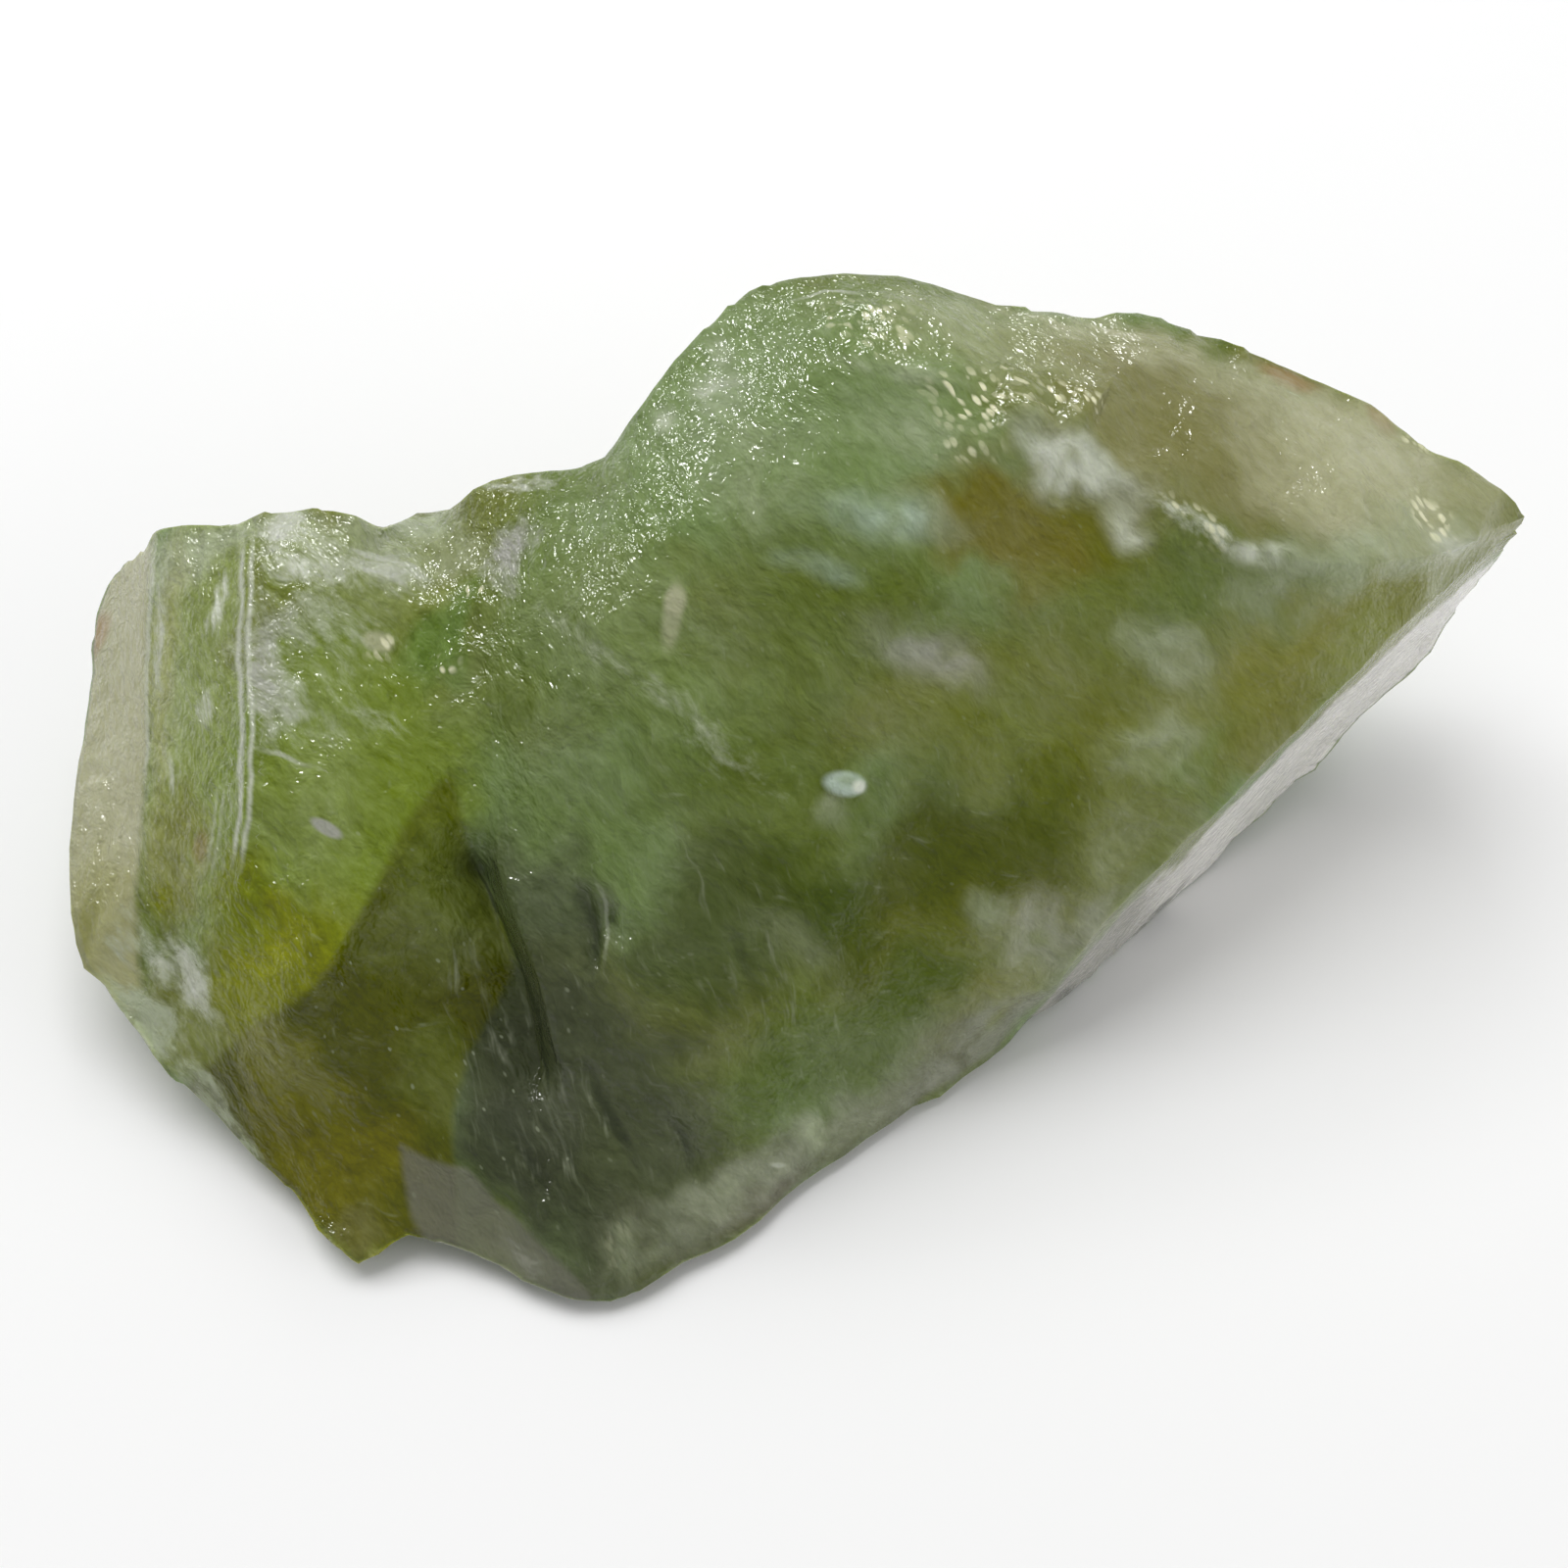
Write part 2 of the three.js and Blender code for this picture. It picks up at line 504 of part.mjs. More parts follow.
// The stone's closed surface, with its origin under the middle of its box.
function makeStone() {
  const body = makeBody();
  for (const { longestEdge, evening } of STAGES) {
    splitLongEdges(body, longestEdge);
    evenOut(body, evening);
  }
  roughen(body);
  const geometry = new THREE.BufferGeometry();
  const places = body.points.flatMap((point) => point.toArray());
  geometry.setAttribute('position', new THREE.Float32BufferAttribute(places, 3));
  geometry.setIndex(body.triangles.flat());
  geometry.computeBoundingBox();
  const middle = geometry.boundingBox.getCenter(new THREE.Vector3());
  geometry.translate(-middle.x, -middle.y, -geometry.boundingBox.min.z);
  geometry.computeVertexNormals();
  return geometry;
}

const calcite = new THREE.MeshStandardMaterial({ color: 0x727955, roughness: 0.3, metalness: 0 });
const stone = new THREE.Mesh(makeStone(), calcite);
stone.name = 'calcite_chunk';

const group = new THREE.Group();
group.add(stone);

export default group;
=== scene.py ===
"""A palm-sized chunk of rough green calcite: its fine breakage and its waxy, veiled finish.

The solid model gives the stone's form. Here it is cut finer, chipped, grooved and ledged, and
then coloured by soft zones of milky green, olive and white that lie in the stone, not on it.
Glints and highlights, the wall's near-white reflection, a lift of light beside the end face, part
of the dark wedge's shade and the shade in its crack and clefts are painted into that colour too.
"""

import math
from collections import namedtuple

import bmesh
import bpy
import numpy as np
from mathutils import Matrix, Vector, noise
from mathutils.bvhtree import BVHTree


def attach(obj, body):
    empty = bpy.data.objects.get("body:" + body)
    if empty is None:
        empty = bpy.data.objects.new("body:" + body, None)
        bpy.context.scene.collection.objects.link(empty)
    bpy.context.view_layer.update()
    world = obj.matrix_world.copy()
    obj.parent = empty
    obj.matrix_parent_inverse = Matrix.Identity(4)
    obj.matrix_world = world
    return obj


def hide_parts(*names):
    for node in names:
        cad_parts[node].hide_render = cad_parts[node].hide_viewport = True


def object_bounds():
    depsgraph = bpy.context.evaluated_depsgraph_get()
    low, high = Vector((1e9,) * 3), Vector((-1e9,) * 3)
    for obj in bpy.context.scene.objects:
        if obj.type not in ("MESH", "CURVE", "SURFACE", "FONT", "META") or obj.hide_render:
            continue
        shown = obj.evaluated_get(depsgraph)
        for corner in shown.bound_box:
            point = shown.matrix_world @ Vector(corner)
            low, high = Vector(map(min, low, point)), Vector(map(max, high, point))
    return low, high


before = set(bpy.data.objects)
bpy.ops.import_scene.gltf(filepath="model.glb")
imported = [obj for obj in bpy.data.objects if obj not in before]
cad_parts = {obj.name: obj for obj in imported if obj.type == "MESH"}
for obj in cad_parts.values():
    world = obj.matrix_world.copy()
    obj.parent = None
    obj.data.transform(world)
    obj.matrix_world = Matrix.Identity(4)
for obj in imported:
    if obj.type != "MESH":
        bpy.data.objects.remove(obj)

cad_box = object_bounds()

MM = 0.001

# The picture: its size in pixels, where its middle lies on the stone and how far off the eye is.
PICTURE_SIZE = 1600
PIXELS_PER_MM = 20
PICTURE_WIDTH = PICTURE_SIZE / PIXELS_PER_MM * MM
SENSOR_WIDTH = 36
VIEW_ELEVATION = math.radians(52)
VIEW_DISTANCE = 140 * MM
PICTURE_MIDDLE = Vector((-0.639, -1.097, 13)) * MM
VIEW_RIGHT = Vector((1, 0, 0))
VIEW_UP = Vector((0, math.sin(VIEW_ELEVATION), math.cos(VIEW_ELEVATION)))
VIEW_TOWARDS = Vector((0, -math.cos(VIEW_ELEVATION), math.sin(VIEW_ELEVATION)))
EYE = PICTURE_MIDDLE + VIEW_TOWARDS * VIEW_DISTANCE

# The studio: the floor, and lamps by place and size in metres and power in watts. Lamps that are
# only mirrored give the gloss, and the others give the light.
FLOOR_HALF = 3
FLOOR_DROP = 0.05 * MM
FLOOR_TONE = (0.9, 0.9, 0.9, 1)
SKY_STRENGTH = 0.42
LAMP_TARGET = Vector((0, 0, 0.01))
Lamp = namedtuple("Lamp", "name place size power only_mirrored")
LAMPS = [
    Lamp("softbox", (-0.12, 0.2, 0.5), 0.5, 2.4, False),
    Lamp("right fill", (0.4, -0.12, 0.12), 0.3, 0.6, False),
    Lamp("window", (0.02, 0.36, 0.34), 0.08, 1.3, True),
    Lamp("side window", (-0.3, 0.2, 0.3), 0.06, 1.0, True),
]

# The stone's mesh: how often it is cut finer, and which folds of the solid stay crisp.
CUTS = 2
CRISP_FOLD = math.radians(34)
SMOOTHING = 0.5
FLAT_FACES = [Vector((0.68, -0.7, -0.2)).normalized(), Vector((-0.88, -0.26, 0.39)).normalized()]
FLAT_FROM = 0.86
FLAT_FULL = 0.96

# Lumps of the worn surface: their size and height in millimetres. Then the cleavage steps, the
# chips, how calm the flat faces stay, and the band above the floor where nothing is moved.
LUMPS = [(3.4, 0.14), (1.5, 0.06), (0.8, 0.03)]
STEP_DIRECTION = Vector((0.62, -0.3, 0.72)).normalized()
STEP_SPACING = 1.7
STEP_HEIGHT = 0.13
CHIP_SIZE = 0.9
CHIP_DEPTH = 0.24
CHIP_GRIT_SIZE = 0.45
CHIP_GRIT = 0.08
CALM_ON_FLAT = 0.9
STANDING_BAND = 0.15

# Grooves and raised lines: their course in the picture, half width and height in millimetres.
Line = namedtuple("Line", "name half_width height course")
LINES = [
    Line("step", 0.18, -0.18, [(480, 872), (498, 908), (527, 971), (548, 1026), (561, 1086)]),
    Line("step lip", 0.3, 0.1, [(492, 868), (512, 905), (541, 968), (562, 1024), (574, 1084)]),
    Line("hook hollow", 0.4, -0.45, [(594, 915), (602, 940), (606, 962), (604, 985)]),
    Line("hook lip", 0.26, 0.3, [(596, 890), (612, 912), (619, 942), (618, 972), (611, 996)]),
    Line("fan cleft", 0.26, -0.32, [(603, 1092), (622, 1134), (647, 1186)]),
    Line("low cleft", 0.22, -0.3, [(527, 1161), (541, 1185), (557, 1207)]),
    Line("far cleft", 0.22, -0.3, [(686, 1146), (696, 1168), (704, 1190)]),
    Line("knob cleft", 0.2, -0.26, [(645, 1232), (652, 1246), (660, 1264)]),
    Line("upper cleft", 0.28, -0.24, [(748, 960), (758, 985), (768, 1012)]),
    Line("fan rib", 0.5, 0.2, [(566, 1060), (585, 1120), (610, 1180), (640, 1240)]),
    Line("left ridge", 0.2, 0.2, [(249, 552), (251, 640), (252, 758), (243, 800), (218, 840), (210, 890)]),
    Line("right ridge", 0.2, 0.2, [(258, 552), (260, 640), (259, 758), (252, 808), (250, 870)]),
    Line("flank streak", 0.7, 0.14, [(560, 600), (620, 648), (680, 700), (740, 748), (800, 790)]),
]

# Places chipped rough: pixel across, pixel down and reach in millimetres.
CHIPPED = [
    (885, 318, 2.6), (905, 350, 2), (1000, 395, 3.2), (1070, 410, 2.2), (985, 450, 1.6),
    (1105, 470, 2), (1200, 515, 2), (1270, 552, 2.2), (1450, 445, 3), (1465, 530, 2.6),
    (478, 600, 1.2), (386, 655, 1.4), (456, 676, 1.3), (330, 580, 2.4), (400, 570, 2.2),
    (640, 1280, 2.6), (520, 960, 1.4), (555, 1040, 1.4), (500, 900, 1.2), (610, 900, 1.2),
    (180, 990, 1.8), (860, 1150, 2.4), (760, 1230, 2.4),
]

# The bead: its pixel, its half lengths and lift in millimetres, and its turn.
Bead = namedtuple("Bead", "place long short turn lift")
BEAD = Bead((863, 800), 1.05, 0.6, math.radians(-8), 0.4)


def sight(across, down):
    """The direction from the eye through a pixel of the picture."""
    right = (across - PICTURE_SIZE / 2) / PIXELS_PER_MM * MM
    up = (PICTURE_SIZE / 2 - down) / PIXELS_PER_MM * MM
    return (PICTURE_MIDDLE + VIEW_RIGHT * right + VIEW_UP * up - EYE).normalized()


def in_picture(points):
    """Where points of the stone show in the picture, as pixels across and down."""
    offset = points - np.array(PICTURE_MIDDLE)
    narrowing = 1 - offset @ np.array(VIEW_TOWARDS) / VIEW_DISTANCE
    right = offset @ np.array(VIEW_RIGHT) / narrowing / MM
    up = offset @ np.array(VIEW_UP) / narrowing / MM
    middle = PICTURE_SIZE / 2
    return np.stack([middle + right * PIXELS_PER_MM, middle - up * PIXELS_PER_MM], axis=1)


def make_camera():
    data = bpy.data.cameras.new("picture_camera")
    data.sensor_width = SENSOR_WIDTH
    data.lens = SENSOR_WIDTH * VIEW_DISTANCE / PICTURE_WIDTH
    data.clip_start = 0.01
    camera = bpy.data.objects.new("picture_camera", data)
    camera.location = EYE
    camera.rotation_euler = (math.pi / 2 - VIEW_ELEVATION, 0, 0)
    bpy.context.scene.collection.objects.link(camera)
    bpy.context.scene.camera = camera


def beside_course(pixels, course):
    """How many millimetres each pixel lies beside a course: above 0 on the right of its walker."""
    nearest = np.full(len(pixels), np.inf)
    for start, end in zip(course, course[1:]):
        start, along = np.array(start, float), np.subtract(end, start)
        share = np.clip((pixels - start) @ along / (along @ along), 0, 1)
        offset = pixels - start - share[:, None] * along
        gap = np.linalg.norm(offset, axis=1)
        side = np.where(along[0] * offset[:, 1] > along[1] * offset[:, 0], 1, -1)
        nearest = np.where(gap < np.abs(nearest), gap * side, nearest)
    return nearest / PIXELS_PER_MM


def depth_in(pixels, outline):
    """How many millimetres each pixel lies within a closed outline: below 0 outside."""
    inside = np.zeros(len(pixels), bool)
    for (left, top), (right, bottom) in zip(outline, outline[1:] + outline[:1]):
        crossed = (top > pixels[:, 1]) != (bottom > pixels[:, 1])
        border = left + (right - left) * (pixels[:, 1] - top) / (bottom - top or 1)
        inside ^= crossed & (pixels[:, 0] < border)
    gap = np.abs(beside_course(pixels, outline + outline[:1]))
    return np.where(inside, gap, -gap)


def fade(distance, reach):
    """1 at no distance, easing to 0 at the reach."""
    share = np.clip(1 - distance / reach, 0, 1)
    return share * share * (3 - 2 * share)


def wave_at(point, size, shift=0.0):
    place = point / (size * MM) + Vector((shift, -shift, shift))
    return noise.noise(place, noise_basis="PERLIN_ORIGINAL")


def step_at(point):
    """A sawtooth that climbs one cleavage sheet and drops to the next, in patches."""
    patch = wave_at(point, 7, 3.1)
    along = point.dot(STEP_DIRECTION) / (STEP_SPACING * MM) + 1.1 * wave_at(point, 5, 9.7)
    tooth = along - math.floor(along) - 0.5
    return STEP_HEIGHT * tooth * min(max(patch * 4, 0), 1)


def chip_at(point):
    """Small scooped facets that meet at sharp edges."""
    distances, _ = noise.voronoi(point / (CHIP_SIZE * MM))
    return -CHIP_DEPTH * (0.5 - distances[0]) - CHIP_GRIT * wave_at(point, CHIP_GRIT_SIZE, 5.3)


def bead_at(pixels):
    """The small rounded bead that stands out of the wedge's face."""
    offset = (pixels - BEAD.place) / PIXELS_PER_MM
    cosine, sine = math.cos(BEAD.turn), math.sin(BEAD.turn)
    along = (offset @ np.array([[cosine, -sine], [sine, cosine]])) / (BEAD.long, BEAD.short)
    return BEAD.lift * np.sqrt(np.clip(1 - (along ** 2).sum(axis=1), 0, 1))


def relief(points, normals):
    """How far each point of the fine mesh is moved outwards, in millimetres."""
    pixels = in_picture(points)
    facing = np.clip(normals @ np.array(VIEW_TOWARDS) * 4, 0, 1)
    chips = np.zeros(len(points))
    for across, down, reach in CHIPPED:
        gap = np.linalg.norm(pixels - (across, down), axis=1) / PIXELS_PER_MM
        chips = np.maximum(chips, fade(gap, reach) * facing)
    out = np.zeros(len(points))
    for index, place in enumerate(points):
        point = Vector(place)
        out[index] = sum(height * wave_at(point, size, size) for size, height in LUMPS)
        out[index] += step_at(point) * (2 - facing[index])
        if chips[index] > 0.01:
            out[index] += chips[index] * chip_at(point)
    for line in LINES:
        gap = np.abs(beside_course(pixels, line.course))
        out += line.height * fade(gap, line.half_width * 2) * facing
    return out + bead_at(pixels) * facing


def flatness(normals):
    """How much each point belongs to one of the two faces that split flat."""
    alike = np.max([normals @ np.array(face) for face in FLAT_FACES], axis=0)
    return np.clip((alike - FLAT_FROM) / (FLAT_FULL - FLAT_FROM), 0, 1)


def cut_finer(mesh):
    """Cuts the solid's triangles finer and evens them, but keeps its crisp folds."""
    bm = bmesh.new()
    bm.from_mesh(mesh)
    bmesh.ops.remove_doubles(bm, verts=bm.verts, dist=0.001 * MM)
    for edge in bm.edges:
        edge.smooth = edge.calc_face_angle(0) < CRISP_FOLD
    for _ in range(CUTS):
        bmesh.ops.subdivide_edges(bm, edges=bm.edges[:], cuts=1, use_grid_fill=True)
        soft = [vert for vert in bm.verts if all(edge.smooth for edge in vert.link_edges)]
        bmesh.ops.smooth_vert(bm, verts=soft, factor=SMOOTHING,
                              use_axis_x=True, use_axis_y=True, use_axis_z=True)
    bmesh.ops.triangulate(bm, faces=[face for face in bm.faces if len(face.verts) > 3])
    for edge in bm.edges:
        edge.smooth = True
    bm.to_mesh(mesh)
    bm.free()


def make_stone():
    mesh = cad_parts["calcite_chunk"].data.copy()
    mesh.name = "green_calcite"
    mesh.materials.clear()
    cut_finer(mesh)
    points = np.empty(len(mesh.vertices) * 3)
    mesh.vertices.foreach_get("co", points)
    points = points.reshape(-1, 3)
    normals = np.array([vertex.normal for vertex in mesh.vertices])
    low, high = np.array(cad_box[0]), np.array(cad_box[1])
    standing = np.clip((points[:, 2] - low[2]) / (STANDING_BAND * MM), 0, 1)
    lift = relief(points, normals) * (1 - CALM_ON_FLAT * flatness(normals)) * standing
    points = np.clip(points + normals * (lift * MM)[:, None], low, high)
    mesh.vertices.foreach_set("co", points.ravel())
    mesh.update()
    for polygon in mesh.polygons:
        polygon.use_smooth = True
    stone = bpy.data.objects.new("green_calcite", mesh)
    bpy.context.scene.collection.objects.link(stone)
    return stone


class Socket:
    """One output of a material's node, so that shader sums read as plain sums."""

    def __init__(self, sheet, output):
        self.sheet = sheet
        self.output = output

    def __add__(self, other):
        return self.sheet.sum("ADD", self, other)

    def __sub__(self, other):
        return self.sheet.sum("SUBTRACT", self, other)

    def __mul__(self, other):
        return self.sheet.sum("MULTIPLY", self, other)

    def __rsub__(self, other):
        return self.sheet.sum("SUBTRACT", other, self)

    def __abs__(self):
        return self.sheet.sum("ABSOLUTE", self, 0)

    def beside(self, name):
        """Another output of the same node."""
        return Socket(self.sheet, self.output.node.outputs[name])

    __radd__ = __add__
    __rmul__ = __mul__


class Sheet:
    """A material's nodes, drawn one after another and joined as they come."""

    def __init__(self, name):
        self.material = bpy.data.materials.new(name)
        self.material.use_nodes = True
        self.nodes = self.material.node_tree.nodes
        self.links = self.material.node_tree.links
        self.shader = self.nodes["Principled BSDF"]

    def node(self, kind, settings=None, inputs=None, output=0):
        node = self.nodes.new(kind)
        for name, value in (settings or {}).items():
            setattr(node, name, value)
        for name, value in (inputs or {}).items():
            self.join(node.inputs[name], value)
        return Socket(self, node.outputs[output])

    def join(self, target, value):
        if isinstance(value, Socket):
            self.links.new(value.output, target)
        else:
            target.default_value = value

    def sum(self, operation, first, second):
        return self.node("ShaderNodeMath", {"operation": operation}, {0: first, 1: second})

    def feed(self, name, value):
        self.join(self.shader.inputs[name], value)

    def mix(self, share, first, second):
        settings = {"data_type": "RGBA", "clamp_factor": True}
        return self.node("ShaderNodeMix", settings, {0: share, 6: first, 7: second}, 2)

    def ease(self, value, start, end, top=1.0):
        """0 before the start, easing to the top at the end."""
        settings = {"interpolation_type": "SMOOTHSTEP"}
        inputs = {"Value": value, "From Min": start, "From Max": end, "To Max": top}
        return self.node("ShaderNodeMapRange", settings, inputs)

    def noise(self, place, detail, roughness):
        inputs = {"Vector": place, "Scale": 1.0, "Detail": detail, "Roughness": roughness}
        return self.node("ShaderNodeTexNoise", None, inputs)

    def turned(self, place, middle, turn, sizes, label=""):
        """The place measured from a middle, along axes turned in the picture's plane."""
        inputs = {"Vector": place, "Location": middle, "Rotation": picture_axes(turn).to_euler(),
                  "Scale": Vector(sizes) * MM}
        return self.node("ShaderNodeMapping", {"vector_type": "TEXTURE", "label": label}, inputs)

    def painted(self, name):
        """The colour painted on the mesh's points under a name."""
        return self.node("ShaderNodeAttribute", {"attribute_name": name}, None, "Color")

    def nearness(self, place):
        """1 at the middle, falling straight to 0 at a distance of 1."""
        return self.node("ShaderNodeTexGradient", {"gradient_type": "SPHERICAL"}, {"Vector": place}, "Fac")

    def shifted(self, vector, shift):
        return self.node("ShaderNodeVectorMath", {"operation": "ADD"}, {0: vector, 1: shift})

    def scaled(self, vector, scale):
        inputs = {"Vector": vector, "Scale": scale}
        return self.node("ShaderNodeVectorMath", {"operation": "SCALE"}, inputs)


def picture_axes(turn):
    """Axes whose first lies in the picture's plane at a turn, and whose third faces the eye."""
    angle = math.radians(turn)
    along = VIEW_RIGHT * math.cos(angle) + VIEW_UP * math.sin(angle)
    across = VIEW_UP * math.cos(angle) - VIEW_RIGHT * math.sin(angle)
    return Matrix((along, across, VIEW_TOWARDS)).transposed()


def tone(red, green, blue):
    """A colour as it is named on a screen, 0 to 255, turned into light."""
    def light(value):
        share = value / 255
        return share / 12.92 if share <= 0.04045 else ((share + 0.055) / 1.055) ** 2.4
    return (light(red), light(green), light(blue), 1)


TONES = {
    "milky green": tone(124, 142, 96),
    "sage": tone(112, 128, 80),
    "mid green": tone(104, 116, 62),
    "deep green": tone(84, 100, 46),
    "lime": tone(116, 124, 40),
    "fern": tone(78, 88, 46),
    "grass": tone(120, 135, 68),
    "vivid green": tone(110, 132, 76),
    "forest": tone(64, 78, 16),
    "dark olive": tone(78, 86, 28),
    "olive": tone(116, 118, 54),
    "khaki": tone(136, 137, 80),
    "amber": tone(114, 111, 52),
    "yellow green": tone(118, 124, 18),
    "bright yellow": tone(138, 144, 20),
    "wedge green": tone(106, 116, 60),
    "wedge olive": tone(80, 84, 20),
    "foot olive": tone(106, 104, 30),
    "beige": tone(132, 130, 90),
    "pale beige": tone(178, 178, 148),
    "sallow": tone(164, 164, 120),
    "leaf grey": tone(136, 148, 92),
    "veil": tone(166, 174, 146),
    "haze": tone(152, 158, 134),
    "violet grey": tone(166, 166, 158),
    "milk": tone(190, 194, 178),
    "frost": tone(216, 220, 206),
    "blue milk": tone(190, 206, 196),
    "slate": tone(60, 65, 46),
    "ash green": tone(80, 86, 62),
    "grey olive": tone(98, 100, 76),
    "dark slate": tone(38, 46, 24),
    "grey foot": tone(112, 112, 98),
    "wall reflection": tone(222, 220, 214),
    "wall shade": tone(158, 157, 148),
    "dark brown": tone(84, 76, 64),
    "brown": tone(120, 96, 58),
    "rust": tone(156, 126, 92),
    "painted_glint": tone(240, 238, 204),
}

# Zones of colour, laid one over the other: their pixel in the picture, their two half lengths in
# millimetres, the turn of the first, the colour, how strongly it shows and how softly it ends.
Zone = namedtuple("Zone", "name place size turn tone strength soft", defaults=(0.5,))
GROUND_ZONES = [
    Zone("crown", (800, 400), (12, 7), -12, "milky green", 0.9),
    Zone("left flank", (610, 620), (9, 5), -52, "milky green", 0.7),
    Zone("valley side", (545, 750), (7, 3.4), -62, "sage", 0.7),
    Zone("middle green", (700, 810), (7, 4), -40, "sage", 0.35),
    Zone("centre", (870, 690), (7, 4), -20, "mid green", 0.6),
    Zone("right green", (1130, 640), (7, 4), -10, "sage", 0.4),
    Zone("right olive", (1330, 672), (8, 2.8), 24, "khaki", 0.85),
    Zone("far right green", (1370, 690), (4, 2), 40, "leaf grey", 0.4),
    Zone("olive middle", (1010, 735), (8, 3.6), 4, "olive", 0.6),
    Zone("amber patch", (1020, 522), (5, 2.5), -8, "amber", 1, 0.4),
    Zone("amber spot", (1064, 590), (2, 1.6), -50, "amber", 0.6),
    Zone("lower olive", (960, 985), (8, 4), 24, "olive", 0.6),
    Zone("dark olive", (985, 868), (6.4, 3.4), 16, "dark olive", 0.9),
    Zone("dark green", (842, 920), (3.2, 2.6), -35, "forest", 0.85),
    Zone("dark green low", (905, 990), (4.5, 2), -30, "dark olive", 0.6),
    Zone("middle low", (730, 950), (4, 5), -30, "fern", 0.9),
    Zone("low green", (860, 1070), (7, 3.4), 30, "deep green", 0.8),
    Zone("right foot", (1010, 1030), (3, 2), 38, "olive", 0.7),
    Zone("front rim", (930, 1110), (9, 1.5), 34, "grey olive", 0.9),
    Zone("front rim low", (750, 1225), (4, 2), 28, "grey foot", 0.7),
    Zone("rim shade", (765, 1232), (2.6, 0.7), 30, "dark brown", 0.7),
    Zone("knob", (640, 1280), (4, 2.2), 10, "grey olive", 0.8),
    Zone("wall side", (1290, 742), (4, 1.3), 44, "olive", 0.7),
    Zone("upper beige", (1215, 440), (9, 4.4), -18, "beige", 0.9),
    Zone("upper pale", (1385, 490), (6.4, 3.8), -38, "pale beige", 0.85),
    Zone("crown right", (1010, 352), (5, 1.6), -12, "pale beige", 0.45),
    Zone("upper edge", (1170, 352), (9, 1.7), -14, "pale beige", 0.5),
    Zone("tip", (1510, 500), (2.6, 2.6), 0, "pale beige", 0.6),
    Zone("slate fan", (572, 1110), (9.5, 4.4), -66, "slate", 0.95, 0.8),
    Zone("slate low", (535, 1180), (5, 3.2), -50, "slate", 0.9, 0.8),
    Zone("fan top", (560, 935), (4, 3), -60, "ash green", 0.7),
    Zone("fan green", (655, 1140), (5, 3.4), -60, "ash green", 0.85, 0.8),
    Zone("rear bump", (430, 538), (2, 1.2), 0, "veil", 0.9),
    Zone("strip", (205, 700), (11, 3), 88, "leaf grey", 0.95, 0.3),
    Zone("lobe", (355, 800), (6, 9), 0, "grass", 1, 0.3),
    Zone("lobe left", (245, 860), (5, 3), 80, "grass", 0.8),
    Zone("lobe yellow", (285, 985), (5, 3.8), 10, "yellow green", 0.95, 0.4),
    Zone("yellow heart", (265, 968), (2, 1.2), 0, "bright yellow", 0.85),
    Zone("strip olive", (180, 868), (3.2, 1.5), 84, "olive", 0.75),
    Zone("strip brown", (204, 861), (0.8, 0.4), 80, "brown", 0.5),
    Zone("strip green", (168, 908), (0.9, 0.6), 60, "yellow green", 0.6),
    Zone("lobe low", (232, 900), (2.8, 1.9), 70, "lime", 0.8),
    Zone("lobe rim", (330, 550), (7, 1.4), -4, "veil", 0.7),
    Zone("strip rim", (195, 560), (3.6, 1.6), 10, "veil", 0.7),
    # Painted light: a paler band that lifts the shade of the crease beside the end face.
    Zone("strip edge lightening", (170, 700), (8, 0.9), 88, "sallow", 0.5),
    Zone("vivid corner", (452, 635), (2.8, 1.8), 60, "vivid green", 0.85),
    Zone("vivid tail", (468, 665), (2, 0.7), -80, "vivid green", 0.6),
    Zone("lobe top", (330, 580), (5, 2), -10, "leaf grey", 0.75),
    Zone("tip rust", (1405, 428), (0.9, 0.6), -60, "rust", 0.5),
    Zone("edge rust", (1316, 384), (1.5, 0.5), -20, "rust", 0.7),
    Zone("flank shade", (586, 710), (2.4, 0.5), -45, "deep green", 0.5),
]
# Colours of the faces that stop short at a border: the dark wedge, whose dark colour partly paints
# the shade it lies in, the end face and the wall, whose near-white is a painted reflection.
INSIDE_ZONES = [
    Zone("wedge top", (445, 890), (4, 4), -60, "wedge green", 1, 0.7),
    Zone("wedge foot", (330, 1170), (5, 3.4), -50, "foot olive", 0.95),
    Zone("wedge left", (290, 1085), (3.4, 1.6), -45, "olive", 0.75),
    Zone("wedge right", (445, 1090), (3, 2), -70, "wedge green", 0.5),
    Zone("point", (360, 1262), (1.6, 1), 40, "beige", 0.4),
    Zone("end face", (110, 760), (14, 9), 90, "pale beige", 1, 0.3),
    Zone("end face low", (105, 950), (4, 3), 85, "sallow", 0.8),
    Zone("end face rust", (104, 648), (1.2, 0.5), 88, "rust", 0.6),
    Zone("end face olive", (94, 946), (1.8, 0.7), 85, "olive", 0.5),
    # Painted reflection: the wall's near-white is the white around it, mirrored at a grazing angle.
    Zone("wall", (1330, 770), (22, 9), 45, "wall reflection", 1, 0.3),
    Zone("wall low", (1110, 990), (6, 4), 45, "wall shade", 0.9),
]
